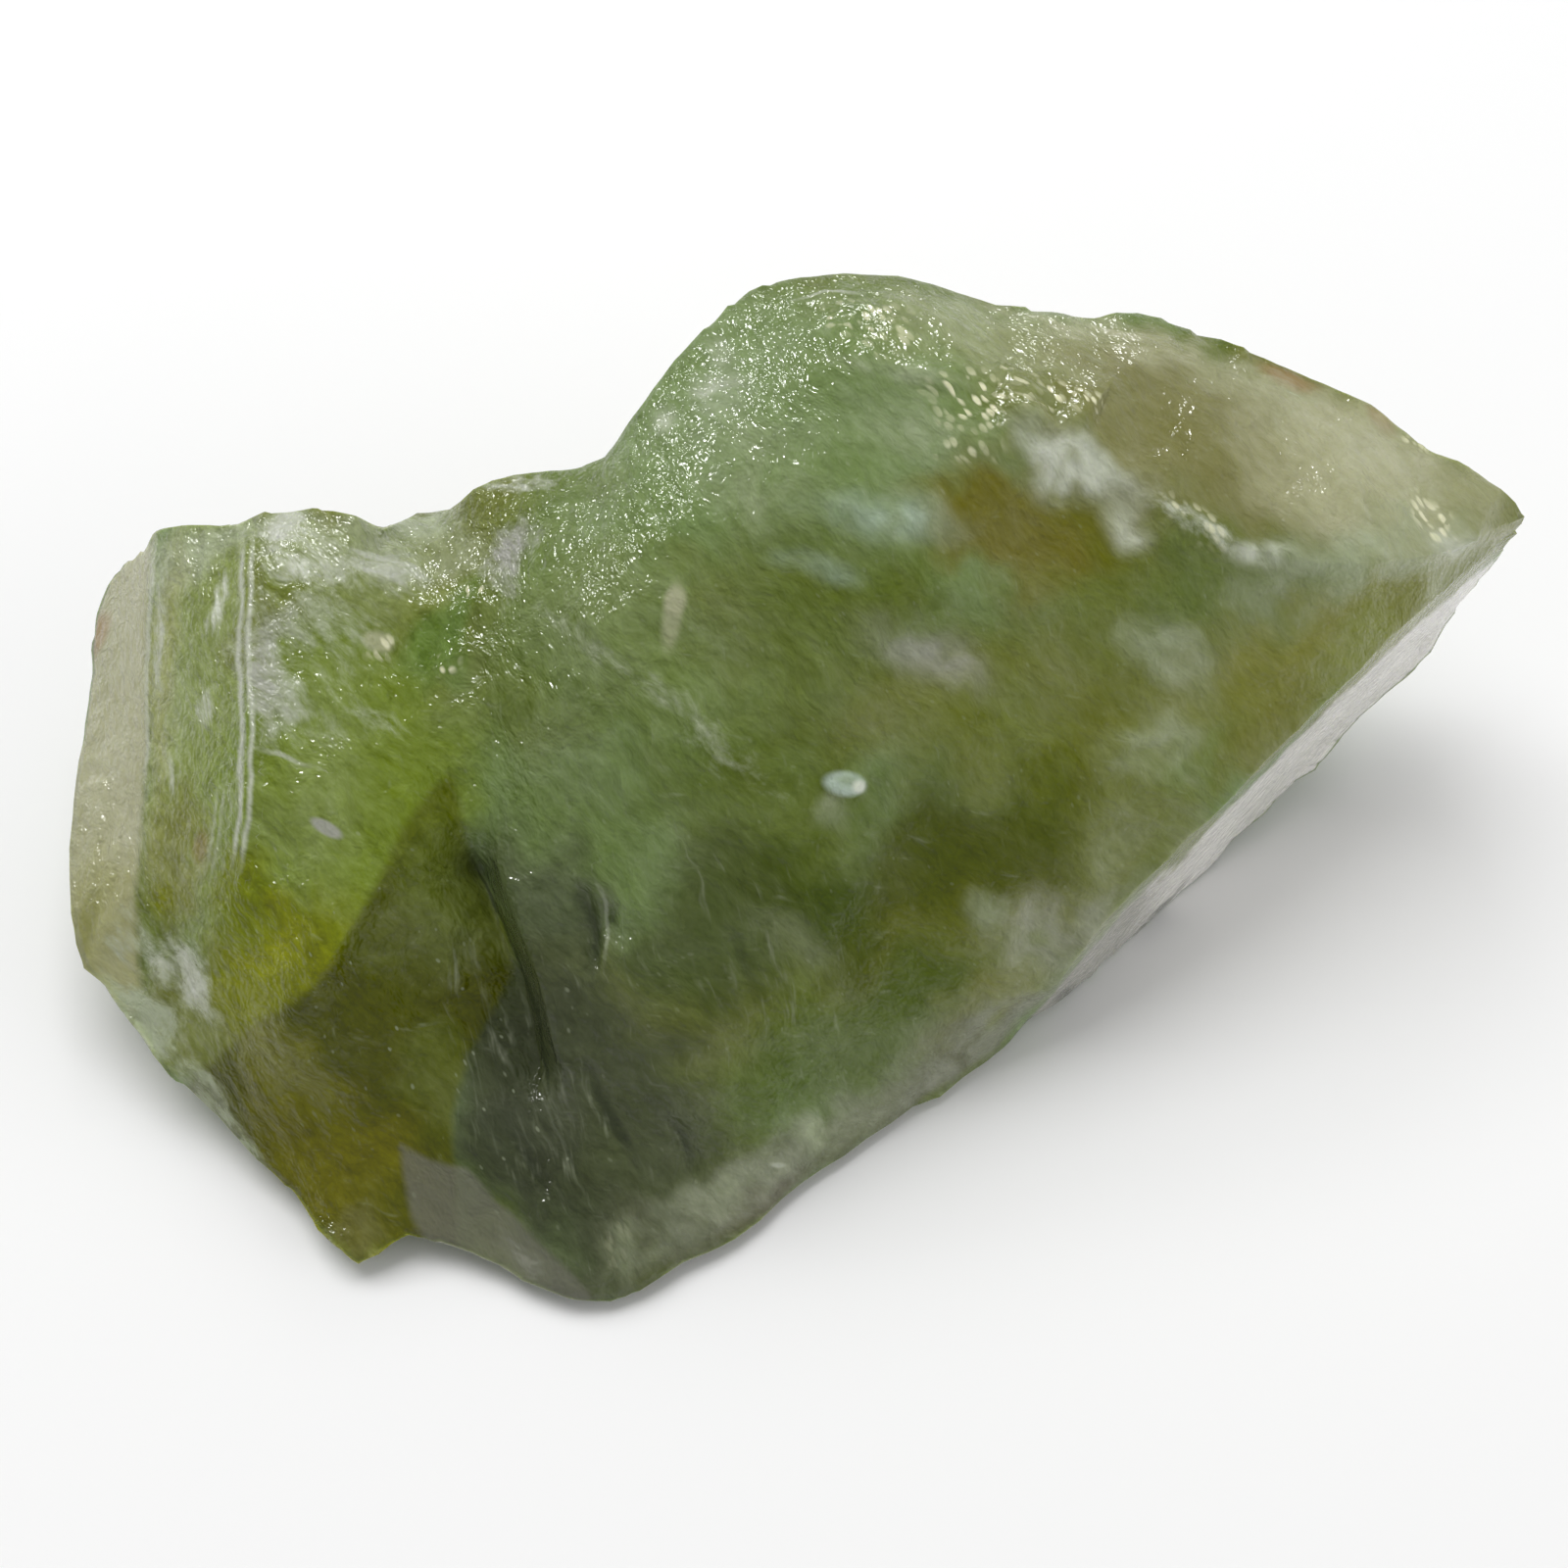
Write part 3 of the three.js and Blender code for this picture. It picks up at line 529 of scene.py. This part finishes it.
# Milky veils in the stone, and for each the grain that tears it.
Veil = namedtuple("Veil", "name place size turn tone strength soft grain", defaults=(0.6, "cloudy"))
VEILS = [
    Veil("upper edge", (1170, 352), (9, 1.5), -14, "pale beige", 0.5, 0.6, "level"),
    Veil("upper pale", (1385, 480), (5.6, 3.6), -38, "pale beige", 0.5, 0.6),
    Veil("pale foot of the beige", (1400, 575), (6, 1.9), 6, "veil", 0.75, 0.6),
    Veil("lower rim", (880, 1120), (15, 1.4), 34, "haze", 0.15, 0.6),
    Veil("left foot rim", (742, 1218), (3, 1.4), 25, "haze", 0.9, 0.6),
    Veil("right rim", (1010, 1056), (6, 1), 38, "violet grey", 0.3, 0.6),
    Veil("wedge grey", (487, 990), (2.8, 1.1), -65, "haze", 0.4, 0.6, "upright"),
    Veil("foot patch", (515, 1272), (1.6, 0.8), -30, "milk", 0.6, 0.5, "level"),
    Veil("knob", (645, 1280), (1.8, 1.1), 10, "veil", 0.35),
    Veil("strip wisp", (166, 640), (3.8, 0.4), 92, "milk", 0.75, 0.6, "upright"),
    Veil("strip blob", (224, 617), (1.4, 0.6), 80, "frost", 0.75, 0.6, "upright"),
    Veil("strip low blob", (207, 726), (1.5, 0.7), 70, "milk", 0.7, 0.6, "upright"),
    Veil("strip streak", (174, 786), (2, 0.4), -72, "milk", 0.5, 0.6, "upright"),
    Veil("lobe top", (322, 570), (4.4, 1.8), -10, "milk", 0.6, 0.5, "falling"),
    Veil("lobe haze", (316, 640), (3.4, 2.6), 0, "veil", 0.65, 0.6, "falling"),
    Veil("lobe violet", (284, 698), (3.4, 1.3), 88, "violet grey", 0.9, 0.6, "falling"),
    Veil("striped chip", (285, 540), (2, 0.9), 10, "milk", 0.85, 0.5, "level"),
    Veil("white patch", (390, 577), (2, 0.9), -14, "milk", 0.9, 0.6, "level"),
    Veil("white dab", (304, 578), (1, 0.5), -30, "frost", 0.85, 0.5, "falling"),
    Veil("lobe veil", (385, 733), (1.8, 0.6), -20, "veil", 0.55, 0.6, "falling"),
    Veil("lobe streaks", (330, 720), (3, 3), 0, "veil", 0.3, 0.6, "falling"),
    Veil("frosted cloud", (188, 990), (3.2, 2), -52, "milk", 0.95, 0.6, "falling"),
    Veil("left haze", (140, 1040), (3.6, 1.6), -46, "veil", 1, 0.5, "falling"),
    Veil("left rim", (215, 1130), (5, 0.8), -48, "veil", 0.7, 0.6, "falling"),
    Veil("shoulder top", (532, 492), (2.8, 0.5), -4, "milk", 0.6, 0.6, "level"),
    Veil("shoulder haze", (522, 568), (2.8, 1.9), -60, "violet grey", 0.85, 0.6, "falling"),
    Veil("flank streak", (600, 655), (5, 0.6), -38, "veil", 0.55, 0.6, "falling"),
    Veil("flank streak low", (720, 745), (5, 0.7), -38, "veil", 0.5, 0.6, "falling"),
    Veil("fan streaks", (560, 1130), (7, 3), -66, "haze", 0.25, 0.8, "upright"),
    Veil("low streaks", (770, 1010), (5, 3), -60, "haze", 0.2, 0.8, "upright"),
    Veil("crown blob", (728, 402), (1.4, 1), -60, "milk", 0.6),
    Veil("crown blob up", (732, 360), (1, 0.6), -60, "milk", 0.5),
    Veil("flank blob", (678, 430), (0.9, 0.5), -60, "milk", 0.55),
    Veil("upper haze", (774, 478), (3, 1.8), -40, "veil", 0.45, 0.6),
    Veil("above the amber", (950, 450), (3, 1.2), -10, "veil", 0.4, 0.8),
    Veil("crown path", (920, 376), (3.6, 0.4), -12, "veil", 0.5, 0.6),
    Veil("centre blue", (839, 578), (1.6, 0.6), -14, "blue milk", 0.5, 0.8),
    Veil("centre wisps", (912, 524), (2.8, 0.9), -8, "blue milk", 0.5, 0.8),
    Veil("violet blotch", (955, 668), (3, 1.2), -30, "violet grey", 0.75, 0.8),
    Veil("blotch above", (905, 650), (2, 0.9), -20, "haze", 0.5, 0.8),
    Veil("right veil", (1190, 672), (2.4, 1.4), -40, "veil", 0.6),
    Veil("right veil low", (1165, 765), (2.6, 1.6), 0, "veil", 0.65),
    Veil("white blob", (1098, 474), (3, 1.3), -22, "milk", 0.9, 0.7),
    Veil("white core", (1092, 471), (1.9, 0.85), -22, "frost", 1, 0.7),
    Veil("small white blob", (1146, 538), (1.1, 0.8), -40, "frost", 0.8, 0.9),
    Veil("crust", (1225, 536), (3.6, 0.7), -28, "milk", 0.6, 0.6, "falling"),
    Veil("crust end", (1284, 566), (1.4, 0.6), -8, "frost", 0.85),
    Veil("tip blob", (1480, 564), (1.1, 0.9), -50, "milk", 0.8),
    Veil("low veil", (1012, 932), (0.9, 1), 0, "veil", 0.75),
    Veil("low violet", (1090, 945), (3.4, 1.8), 8, "violet grey", 0.6, 0.8),
    Veil("wall haze", (1150, 885), (5, 1.8), 46, "haze", 0.35, 0.8),
    Veil("wall haze up", (1300, 740), (5, 1.4), 44, "haze", 0.15, 0.8),
    Veil("rim haze", (1000, 1050), (6, 1.6), 38, "haze", 0.2, 0.8),
    Veil("rim haze low", (890, 1130), (5, 1.6), 36, "haze", 0.15, 0.8),
    Veil("middle veil", (812, 965), (3, 1.2), -24, "haze", 0.25, 0.6),
    Veil("rim milk", (870, 1138), (2.2, 1.2), 40, "haze", 0.45),
    Veil("rim milk low", (824, 1160), (0.9, 0.9), 0, "veil", 0.7),
    Veil("bead shadow", (846, 829), (0.9, 0.6), -30, "veil", 0.7),
]

# Waves that push the zones' edges about: their sizes and reaches in millimetres.
WARP_WAVES = [(5, 2.2), (2, 1.2), (0.9, 0.5)]

# The small facets' direction and sizes, how much the borders waver, and how lively the fine texture
# is at the picture's left, how fast that falls and where it stays.
FACET_TURN = -55
FACET_SIZES = (0.75, 0.4, 0.5)
BORDER_WAVER = 0.12
LIVELY_LEFT = 1.4
LIVELY_FALL = 1.1
LIVELY_LEAST = 0.35

# Grains that streak the stone and tear the veils: the direction in the picture, the sizes in
# millimetres and the detail, then their roughness and how much of the zones' waver they share.
GRAINS = {
    "falling": (-42, (1.5, 0.6, 1), 4),
    "upright": (-74, (3, 0.5, 1.4), 2),
    "level": (-14, (2.4, 0.6, 1.4), 2),
}

GRAIN_ROUGHNESS = 0.68
GRAIN_WAVER = 0.25

# The stone's skin: its fine unevenness in millimetres, its gloss and how light spreads under it.
SKIN_TURN = -50
SKIN_SIZES = (0.9, 0.6, 0.7)
SKIN_HEIGHT = 0.24
GLOSSY_ROUGHNESS = 0.17
SCATTER_SHARE = 0.5
SCATTER_COLOURS = (1.0, 1.15, 0.7)
SCATTER_DEPTH = 0.6
IOR = 1.5
SPECULAR = 0.32

# Places of painted glints on small facets, and where pale dust lies: pixel, half lengths, turn and share.
Patch = namedtuple("Patch", "place size turn share")
PAINTED_GLINTS = [
    Patch((888, 330), (2.2, 1), -20, 0.7),
    Patch((1002, 406), (2.4, 1.7), 10, 1),
    Patch((1068, 406), (0.9, 0.8), 0, 1),
    Patch((1106, 412), (0.9, 0.7), 0, 1),
    Patch((1440, 452), (0.8, 0.5), -30, 0.9),
    Patch((1464, 532), (0.8, 1.4), 20, 0.8),
    Patch((1215, 530), (2, 0.8), -30, 0.7),
    Patch((486, 602), (1, 0.5), 0, 1),
    Patch((456, 677), (0.7, 0.4), 0, 1),
    Patch((640, 1282), (1.4, 0.9), 0, 0.12),
    Patch((985, 458), (1.6, 0.6), 0, 0.6),
    Patch((386, 655), (1, 0.8), 0, 0.8),
]
DUST = [
    Patch((400, 1000), (7, 4), -60, 0.8),
    Patch((530, 1090), (6, 4), -60, 0.7),
    Patch((300, 880), (6, 4), -60, 0.4),
]

# Faces whose colours stop short: the softness of the border in millimetres and the outline.
Face = namedtuple("Face", "name soft outline")
FACES = [
    Face("end face", 0.4, [
        (0, 480), (160, 480), (157, 553), (151, 735), (145, 822), (141, 940), (141, 1100), (0, 1101),
    ]),
    Face("wedge", 0.35, [
        (460, 792), (440, 806), (406, 850), (371, 930), (338, 985), (318, 1008), (289, 1028),
        (245, 1058), (200, 1095), (180, 1130), (180, 1400), (464, 1401), (464, 1190), (460, 1136),
        (477, 1077), (502, 1039), (514, 1018), (524, 985), (517, 950), (498, 908), (480, 872),
    ]),
    Face("wall", 0.15, [
        (1560, 544), (1543, 560), (1492, 599), (1458, 627), (1411, 671), (1348, 731), (1289, 790),
        (1238, 844), (1196, 885), (1150, 928), (1114, 967), (1083, 1005), (1040, 1060), (1040, 1400),
        (1600, 1401), (1600, 541),
    ]),
]
FOOT = Face("foot", 0.25, [
    (404, 1168), (437, 1184), (477, 1192), (506, 1228), (544, 1262), (600, 1316), (600, 1400),
    (440, 1401), (440, 1275), (419, 1249), (412, 1215),
])

# Fine lines: their course in the picture, half width in millimetres and strength.
Stroke = namedtuple("Stroke", "name half_width strength course")
# Painted shade: the crack, the hook and the clefts are darkened where shade falls in their grooves.
DARK_LINES_AND_SHADE = [
    Stroke("crack", 0.1, 0.6, [(478, 870), (498, 908), (527, 971), (548, 1026), (561, 1089), (567, 1125)]),
    Stroke("hook", 0.4, 0.6, [(596, 915), (606, 944), (610, 962), (606, 996)]),
    Stroke("fan cleft", 0.34, 0.6, [(605, 1096), (624, 1138), (651, 1190)]),
    Stroke("low cleft", 0.26, 0.6, [(525, 1158), (541, 1185), (559, 1210)]),
    Stroke("far cleft", 0.26, 0.6, [(685, 1144), (696, 1168), (705, 1193)]),
    Stroke("wall chips", 0.12, 0.7, [(1070, 1030), (1110, 1000), (1141, 974), (1175, 938), (1215, 893)]),
    Stroke("fan hair", 0.12, 0.4, [(560, 1130), (575, 1165), (600, 1215)]),
    Stroke("upper cleft", 0.3, 0.3, [(748, 955), (758, 985), (768, 1012)]),
]
# Of the pale lines, the hook's lip and the line along the crown's top edge are painted highlights.
PALE_LINES_AND_HIGHLIGHTS = [
    Stroke("end face edge", 0.14, 0.5, [(158, 560), (154, 640), (151, 720), (146, 800)]),
    Stroke("hook lip", 0.14, 0.3, [(604, 895), (616, 925), (621, 950), (617, 988)]),
    Stroke("lobe streak", 0.22, 0.7, [(262, 572), (276, 561), (294, 554)]),
    Stroke("white streak", 0.16, 0.7, [(262, 762), (290, 770), (318, 783)]),
    Stroke("crown highlight line", 0.1, 0.6, [(806, 309), (845, 298), (890, 301)]),
]
RIDGES = [
    Stroke("ridge", 0.28, 0.8, [(252, 548), (252, 640), (253, 760), (251, 830), (240, 885)]),
    Stroke("lower ridge", 0.2, 0.3, [(226, 790), (218, 850), (208, 905)]),
]
STROKE_REACH = 0.5
STROKE_TAPER = 1.4

# Small things with an edge of their own: the bead, the drop, chips and a painted glint.
SPOTS = [
    Zone("drop", (686, 629), (1.5, 0.45), 82, "pale beige", 0.55, 0.5),
    Zone("drop top", (689, 613), (0.7, 0.55), 82, "pale beige", 0.6, 0.35),
    Zone("bead", (863, 800), (1.05, 0.6), -8, "blue milk", 0.75, 0.3),
    Zone("bead heart", (866, 796), (0.6, 0.26), -8, "sage", 0.5, 0.8),
    # A painted highlight at the bead's right end.
    Zone("bead highlight", (877, 803), (0.36, 0.3), -8, "frost", 0.9, 0.6),
    Zone("yellow chip", (386, 655), (0.75, 0.5), -20, "pale beige", 0.7, 0.4),
    Zone("grey chip", (333, 845), (0.85, 0.32), -30, "violet grey", 0.85, 0.3),
    # A painted glint.
    Zone("low glint", (794, 1189), (0.4, 0.14), -10, "milk", 0.5, 0.5),
]


def noise_at(points, size, shift=0.0):
    """Soft noise about 0 for each of many points."""
    return np.array([wave_at(Vector(point), size, shift) for point in points])


def warp_of(points):
    """How far each point is pushed, so that zones laid round a middle get wavering edges."""
    return sum(np.stack([noise_at(points, size, shift) for shift in (2.3, 17.9, 41.7)], axis=1)
               * (reach * MM) for size, reach in WARP_WAVES)


def share_of(points, warp, middle, size, turn, soft):
    """How much each point belongs to a soft ellipsoid: 1 inside, easing to 0 outside."""
    sizes = np.array([*size, max(size) * 1.1]) * MM
    offset = (points + warp * min(1, min(size) / 2) - np.array(middle)) @ np.array(picture_axes(turn))
    distance = np.linalg.norm(offset / sizes, axis=1)
    return fade(np.clip(distance - (1 - soft), 0, None), 2 * soft)


def laid_over(colours, share, name):
    return colours + (np.array(TONES[name]) - colours) * share[:, None]


def paint_zones(points, warp, colours, zones, surface):
    for zone in zones:
        share = share_of(points, warp, surface(*zone.place), zone.size, zone.turn, zone.soft)
        colours = laid_over(colours, share * zone.strength, zone.tone)
    return colours


def patches_at(points, warp, patches, surface):
    shares = [share_of(points, warp, surface(*patch.place), patch.size, patch.turn, 0.5) * patch.share
              for patch in patches]
    return np.max(shares, axis=0)


def faces_at(pixels, facing, faces):
    """How deep each point lies within faces, from -1 to 1 over their borders, on the side that shows."""
    depth = np.max([depth_in(pixels, face.outline) / face.soft for face in faces], axis=0)
    return np.clip(np.minimum(depth, facing * 20 + 1), -2, 2)


def strokes_at(pixels, facing, strokes):
    """How many half widths each point lies beside the nearest fine line, and how clearly it shows."""
    beside, shown = np.full(len(pixels), np.inf), np.zeros(len(pixels))
    for stroke in strokes:
        gap = beside_course(pixels, stroke.course)
        ends = [np.linalg.norm(pixels - end, axis=1) for end in (stroke.course[0], stroke.course[-1])]
        taper = np.clip(np.min(ends, axis=0) / PIXELS_PER_MM / STROKE_TAPER, 0, 1)
        near = fade(np.clip(np.abs(gap) - STROKE_REACH, 0, None), STROKE_REACH)
        closer = near * taper * stroke.strength > shown
        beside = np.where(closer, gap / stroke.half_width, beside)
        shown = np.where(closer, near * taper * stroke.strength, shown)
    return np.clip(beside, -20, 20), shown * np.clip(facing * 8, 0, 1)


def facing_eye(mesh):
    """How much each point's surface faces the picture's eye: 1 straight on, below 0 turned away."""
    return np.array([vertex.normal for vertex in mesh.vertices]) @ np.array(VIEW_TOWARDS)


def paint_stone(mesh, surface):
    """Lays the soft colours on the mesh's points, for the material to tear and sharpen."""
    points = np.empty(len(mesh.vertices) * 3)
    mesh.vertices.foreach_get("co", points)
    points = points.reshape(-1, 3)
    warp = warp_of(points)
    start = np.tile(TONES["milky green"], (len(points), 1))
    ground = laid_over(start, np.clip(0.5 + noise_at(points + warp, 9) * 2.2, 0, 1), "mid green")
    ground = laid_over(ground, np.clip(noise_at(points + warp, 13, 5.1) * 2.4, 0, 0.7), "olive")
    ground = paint_zones(points, warp, ground, GROUND_ZONES, surface)
    # The faces start from the wedge's dark olive, which partly paints the wedge's shade.
    start = np.tile(TONES["wedge olive"], (len(points), 1))
    inside = paint_zones(points, warp, start, INSIDE_ZONES, surface)
    veil = np.tile(TONES["veil"], (len(points), 1))
    torn = np.zeros((len(points), 4))
    cloud = np.clip(0.8 + noise_at(points + warp, 1.8, 8.8) * 0.9, 0.3, 1)
    facing = facing_eye(mesh)
    hidden = np.clip(0.3 - facing, 0, 1)
    ground = laid_over(ground, np.clip(noise_at(points + warp, 6, 8.8), 0, 0.5) * hidden, "veil")
    for zone in VEILS:
        share = share_of(points, warp, surface(*zone.place), zone.size, zone.turn, zone.soft)
        if zone.grain == "cloudy":
            ground = laid_over(ground, share * zone.strength * cloud, zone.tone)
        else:
            veil = laid_over(veil, share, zone.tone)
            column = list(GRAINS).index(zone.grain)
            torn[:, column] = np.maximum(torn[:, column], share * zone.strength)
    # The ground's alpha holds where painted glints may show.
    ground[:, 3] = patches_at(points, warp, PAINTED_GLINTS, surface)
    inside[:, 3] = patches_at(points, warp, DUST, surface)
    veil[:, 3] = 0.5 + noise_at(points, 4.2) * 0.5
    pixels = in_picture(points + warp * BORDER_WAVER)
    edges = np.stack([faces_at(pixels, facing, FACES), faces_at(pixels, facing, [FOOT]),
                      *strokes_at(pixels, facing, DARK_LINES_AND_SHADE)], axis=1)
    lights = np.stack([*strokes_at(pixels, facing, PALE_LINES_AND_HIGHLIGHTS),
                       *strokes_at(pixels, facing, RIDGES)], axis=1)
    calm = faces_at(pixels, facing, [face for face in FACES if face.name != "wedge"]) > 0
    torn[:, 3] = np.clip(LIVELY_LEFT - pixels[:, 0] / PICTURE_SIZE * LIVELY_FALL, LIVELY_LEAST, None)
    torn[calm, 3] = LIVELY_LEAST
    layers = {"ground": ground, "inside": inside, "veil": veil, "torn": torn,
              "edges": edges, "lights": lights}
    for name, values in layers.items():
        layer = mesh.attributes.new(name, "FLOAT_COLOR", "POINT")
        layer.data.foreach_set("color", values.ravel())
    layer = mesh.attributes.new("warp", "FLOAT_VECTOR", "POINT")
    layer.data.foreach_set("vector", warp.ravel())


def lay(sheet, colour, mask, name):
    return sheet.mix(mask, colour, TONES[name])


def spot_mask(sheet, place, spot, middle):
    reach = 1 + spot.soft
    sizes = Vector((*spot.size, max(spot.size) * 1.5)) * reach
    near = sheet.nearness(sheet.turned(place, middle, spot.turn, sizes, spot.name))
    return sheet.ease(near, 0, 1 - (1 - spot.soft) / reach, spot.strength)


def stroke_mask(sheet, beside, shown, tremble):
    """A fine line that thins and thickens a little."""
    return sheet.ease(abs(beside + tremble), 1.3, 0.2) * shown


def ridge_mask(sheet, beside, shown, tremble):
    """A ridge that catches light along both its edges."""
    return sheet.ease(abs(abs(beside + tremble) - 0.9), 0.9, 0) * shown


def grains_of(sheet, place):
    """Noise drawn out along each of the grains."""
    return {name: sheet.noise(sheet.turned(place, (0, 0, 0), turn, sizes, name), detail, GRAIN_ROUGHNESS)
            for name, (turn, sizes, detail) in GRAINS.items()}


def veil_mask(sheet, grains, torn):
    """Where milk shows: the painted strength of each grain, torn by that grain's noise."""
    falling = sheet.node("ShaderNodeSeparateColor", None, {"Color": torn}, "Red")
    strengths = [falling, falling.beside("Green"), falling.beside("Blue")]
    shown = None
    for strength, grain in zip(strengths, grains.values()):
        mask = sheet.ease(strength + grain * 1.6, 1, 1.9)
        shown = mask if shown is None else sheet.sum("MAXIMUM", shown, mask)
    return shown


def make_calcite(surface):
    sheet = Sheet("green_calcite")
    plain = sheet.node("ShaderNodeTexCoord", output="Object")
    ground, inside, veil, torn, edges, lights, warp = (sheet.painted(name) for name in (
        "ground", "inside", "veil", "torn", "edges", "lights", "warp"))
    wavy = sheet.shifted(plain, sheet.scaled(warp, GRAIN_WAVER))
    grains = grains_of(sheet, wavy)
    streak = grains["falling"] - 0.5
    tremble = streak * 2.4
    faces = sheet.node("ShaderNodeSeparateColor", None, {"Color": edges}, "Red")
    beside = sheet.node("ShaderNodeSeparateColor", None, {"Color": lights}, "Red")
    facets = sheet.turned(wavy, (0, 0, 0), FACET_TURN, FACET_SIZES, "facets")
    cells = sheet.node("ShaderNodeTexVoronoi", None, {"Vector": facets, "Scale": 1.0}, "Color")
    chance = sheet.node("ShaderNodeSeparateColor", None, {"Color": cells}, "Red")

    colour = sheet.mix(sheet.ease(faces + tremble * 0.5, -1, 1), ground, inside)
    patchy = veil.beside("Alpha")
    texture = (streak + chance.beside("Blue") * 0.14) * torn.beside("Alpha")
    colour = sheet.node("ShaderNodeHueSaturation", None, {
        "Color": colour, "Value": 0.74 + texture + patchy * 0.3,
        "Saturation": 1.32 - patchy * 0.4 - streak * 0.6})
    milk = veil_mask(sheet, grains, torn)
    colour = sheet.mix(milk, colour, veil)
    foot = sheet.ease(faces.beside("Green") + tremble * 0.5, -1, 1, 0.75)
    colour = lay(sheet, colour, foot, "grey foot")
    dust = sheet.ease(cells.beside("Distance"), 0.26, 0.1) * sheet.ease(chance, 0.82, 0.86)
    colour = lay(sheet, colour, dust * (inside.beside("Alpha") * 0.4 + 0.15), "veil")
    # Dark lines, of which the crack, hook and cleft lines are painted shade.
    dark = stroke_mask(sheet, faces.beside("Blue"), edges.beside("Alpha"), tremble)
    colour = lay(sheet, colour, dark, "dark slate")
    # Pale lines and ridges, partly painted highlights.
    light = stroke_mask(sheet, beside, beside.beside("Green"), tremble)
    ridge = ridge_mask(sheet, beside.beside("Blue"), lights.beside("Alpha"), tremble * 0.3)
    colour = lay(sheet, colour, sheet.sum("MAXIMUM", light, ridge), "milk")
    for spot in SPOTS:
        colour = lay(sheet, colour, spot_mask(sheet, plain, spot, surface(*spot.place)), spot.tone)
    # Painted glints: pale highlight colour laid on a share of the small facets.
    painted_glint = sheet.ease(cells.beside("Distance"), 0.6, 0.3) * sheet.ease(chance.beside("Green"), 0.25, 0.6)
    painted_glint = painted_glint * ground.beside("Alpha")
    colour = lay(sheet, colour, painted_glint * 0.85, "painted_glint")
    sheet.feed("Base Color", colour)
    sheet.feed("Roughness", GLOSSY_ROUGHNESS + milk * 0.2 - painted_glint * 0.1)
    skin = sheet.noise(sheet.turned(wavy, (0, 0, 0), SKIN_TURN, SKIN_SIZES, "skin"), 2, 0.7)
    height = SKIN_HEIGHT * MM
    sheet.feed("Normal", sheet.node("ShaderNodeBump", None, {"Height": skin, "Distance": height}))
    sheet.feed("Subsurface Weight", SCATTER_SHARE)
    sheet.feed("Subsurface Radius", SCATTER_COLOURS)
    sheet.feed("Subsurface Scale", SCATTER_DEPTH * MM)
    sheet.feed("IOR", IOR)
    sheet.feed("Specular IOR Level", SPECULAR)
    return sheet.material


def make_floor():
    mesh = bpy.data.meshes.new("floor")
    bm = bmesh.new()
    bmesh.ops.create_grid(bm, x_segments=1, y_segments=1, size=FLOOR_HALF)
    bm.to_mesh(mesh)
    bm.free()
    floor = bpy.data.objects.new("floor", mesh)
    floor.location.z = -FLOOR_DROP
    sheet = Sheet("pale_floor")
    sheet.feed("Base Color", FLOOR_TONE)
    sheet.feed("Roughness", 0.8)
    mesh.materials.append(sheet.material)
    bpy.context.scene.collection.objects.link(floor)


def make_lights():
    world = bpy.data.worlds.new("studio")
    world.use_nodes = True
    sky = world.node_tree.nodes["Background"]
    sky.inputs["Color"].default_value = (1, 1, 1, 1)
    sky.inputs["Strength"].default_value = SKY_STRENGTH
    bpy.context.scene.world = world
    for lamp in LAMPS:
        data = bpy.data.lights.new(lamp.name, "AREA")
        data.size = lamp.size
        data.energy = lamp.power
        light = bpy.data.objects.new(lamp.name, data)
        light.location = lamp.place
        light.rotation_euler = (LAMP_TARGET - Vector(lamp.place)).to_track_quat("-Z", "Y").to_euler()
        light.visible_glossy = lamp.only_mirrored
        light.visible_diffuse = not lamp.only_mirrored
        bpy.context.scene.collection.objects.link(light)
    bpy.context.scene.view_settings.view_transform = "Standard"


make_camera()
stone = make_stone()
tree = BVHTree.FromPolygons([vertex.co.copy() for vertex in stone.data.vertices],
                            [polygon.vertices[:] for polygon in stone.data.polygons])


def on_stone(across, down):
    """The point of the stone that a pixel of the picture shows."""
    place, _, _, _ = tree.ray_cast(EYE, sight(across, down))
    if place is None:
        raise ValueError("the stone does not show at pixel %d, %d" % (across, down))
    return place


paint_stone(stone.data, on_stone)
stone.data.materials.append(make_calcite(on_stone))
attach(stone, "root")
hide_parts("calcite_chunk")
make_floor()
make_lights()
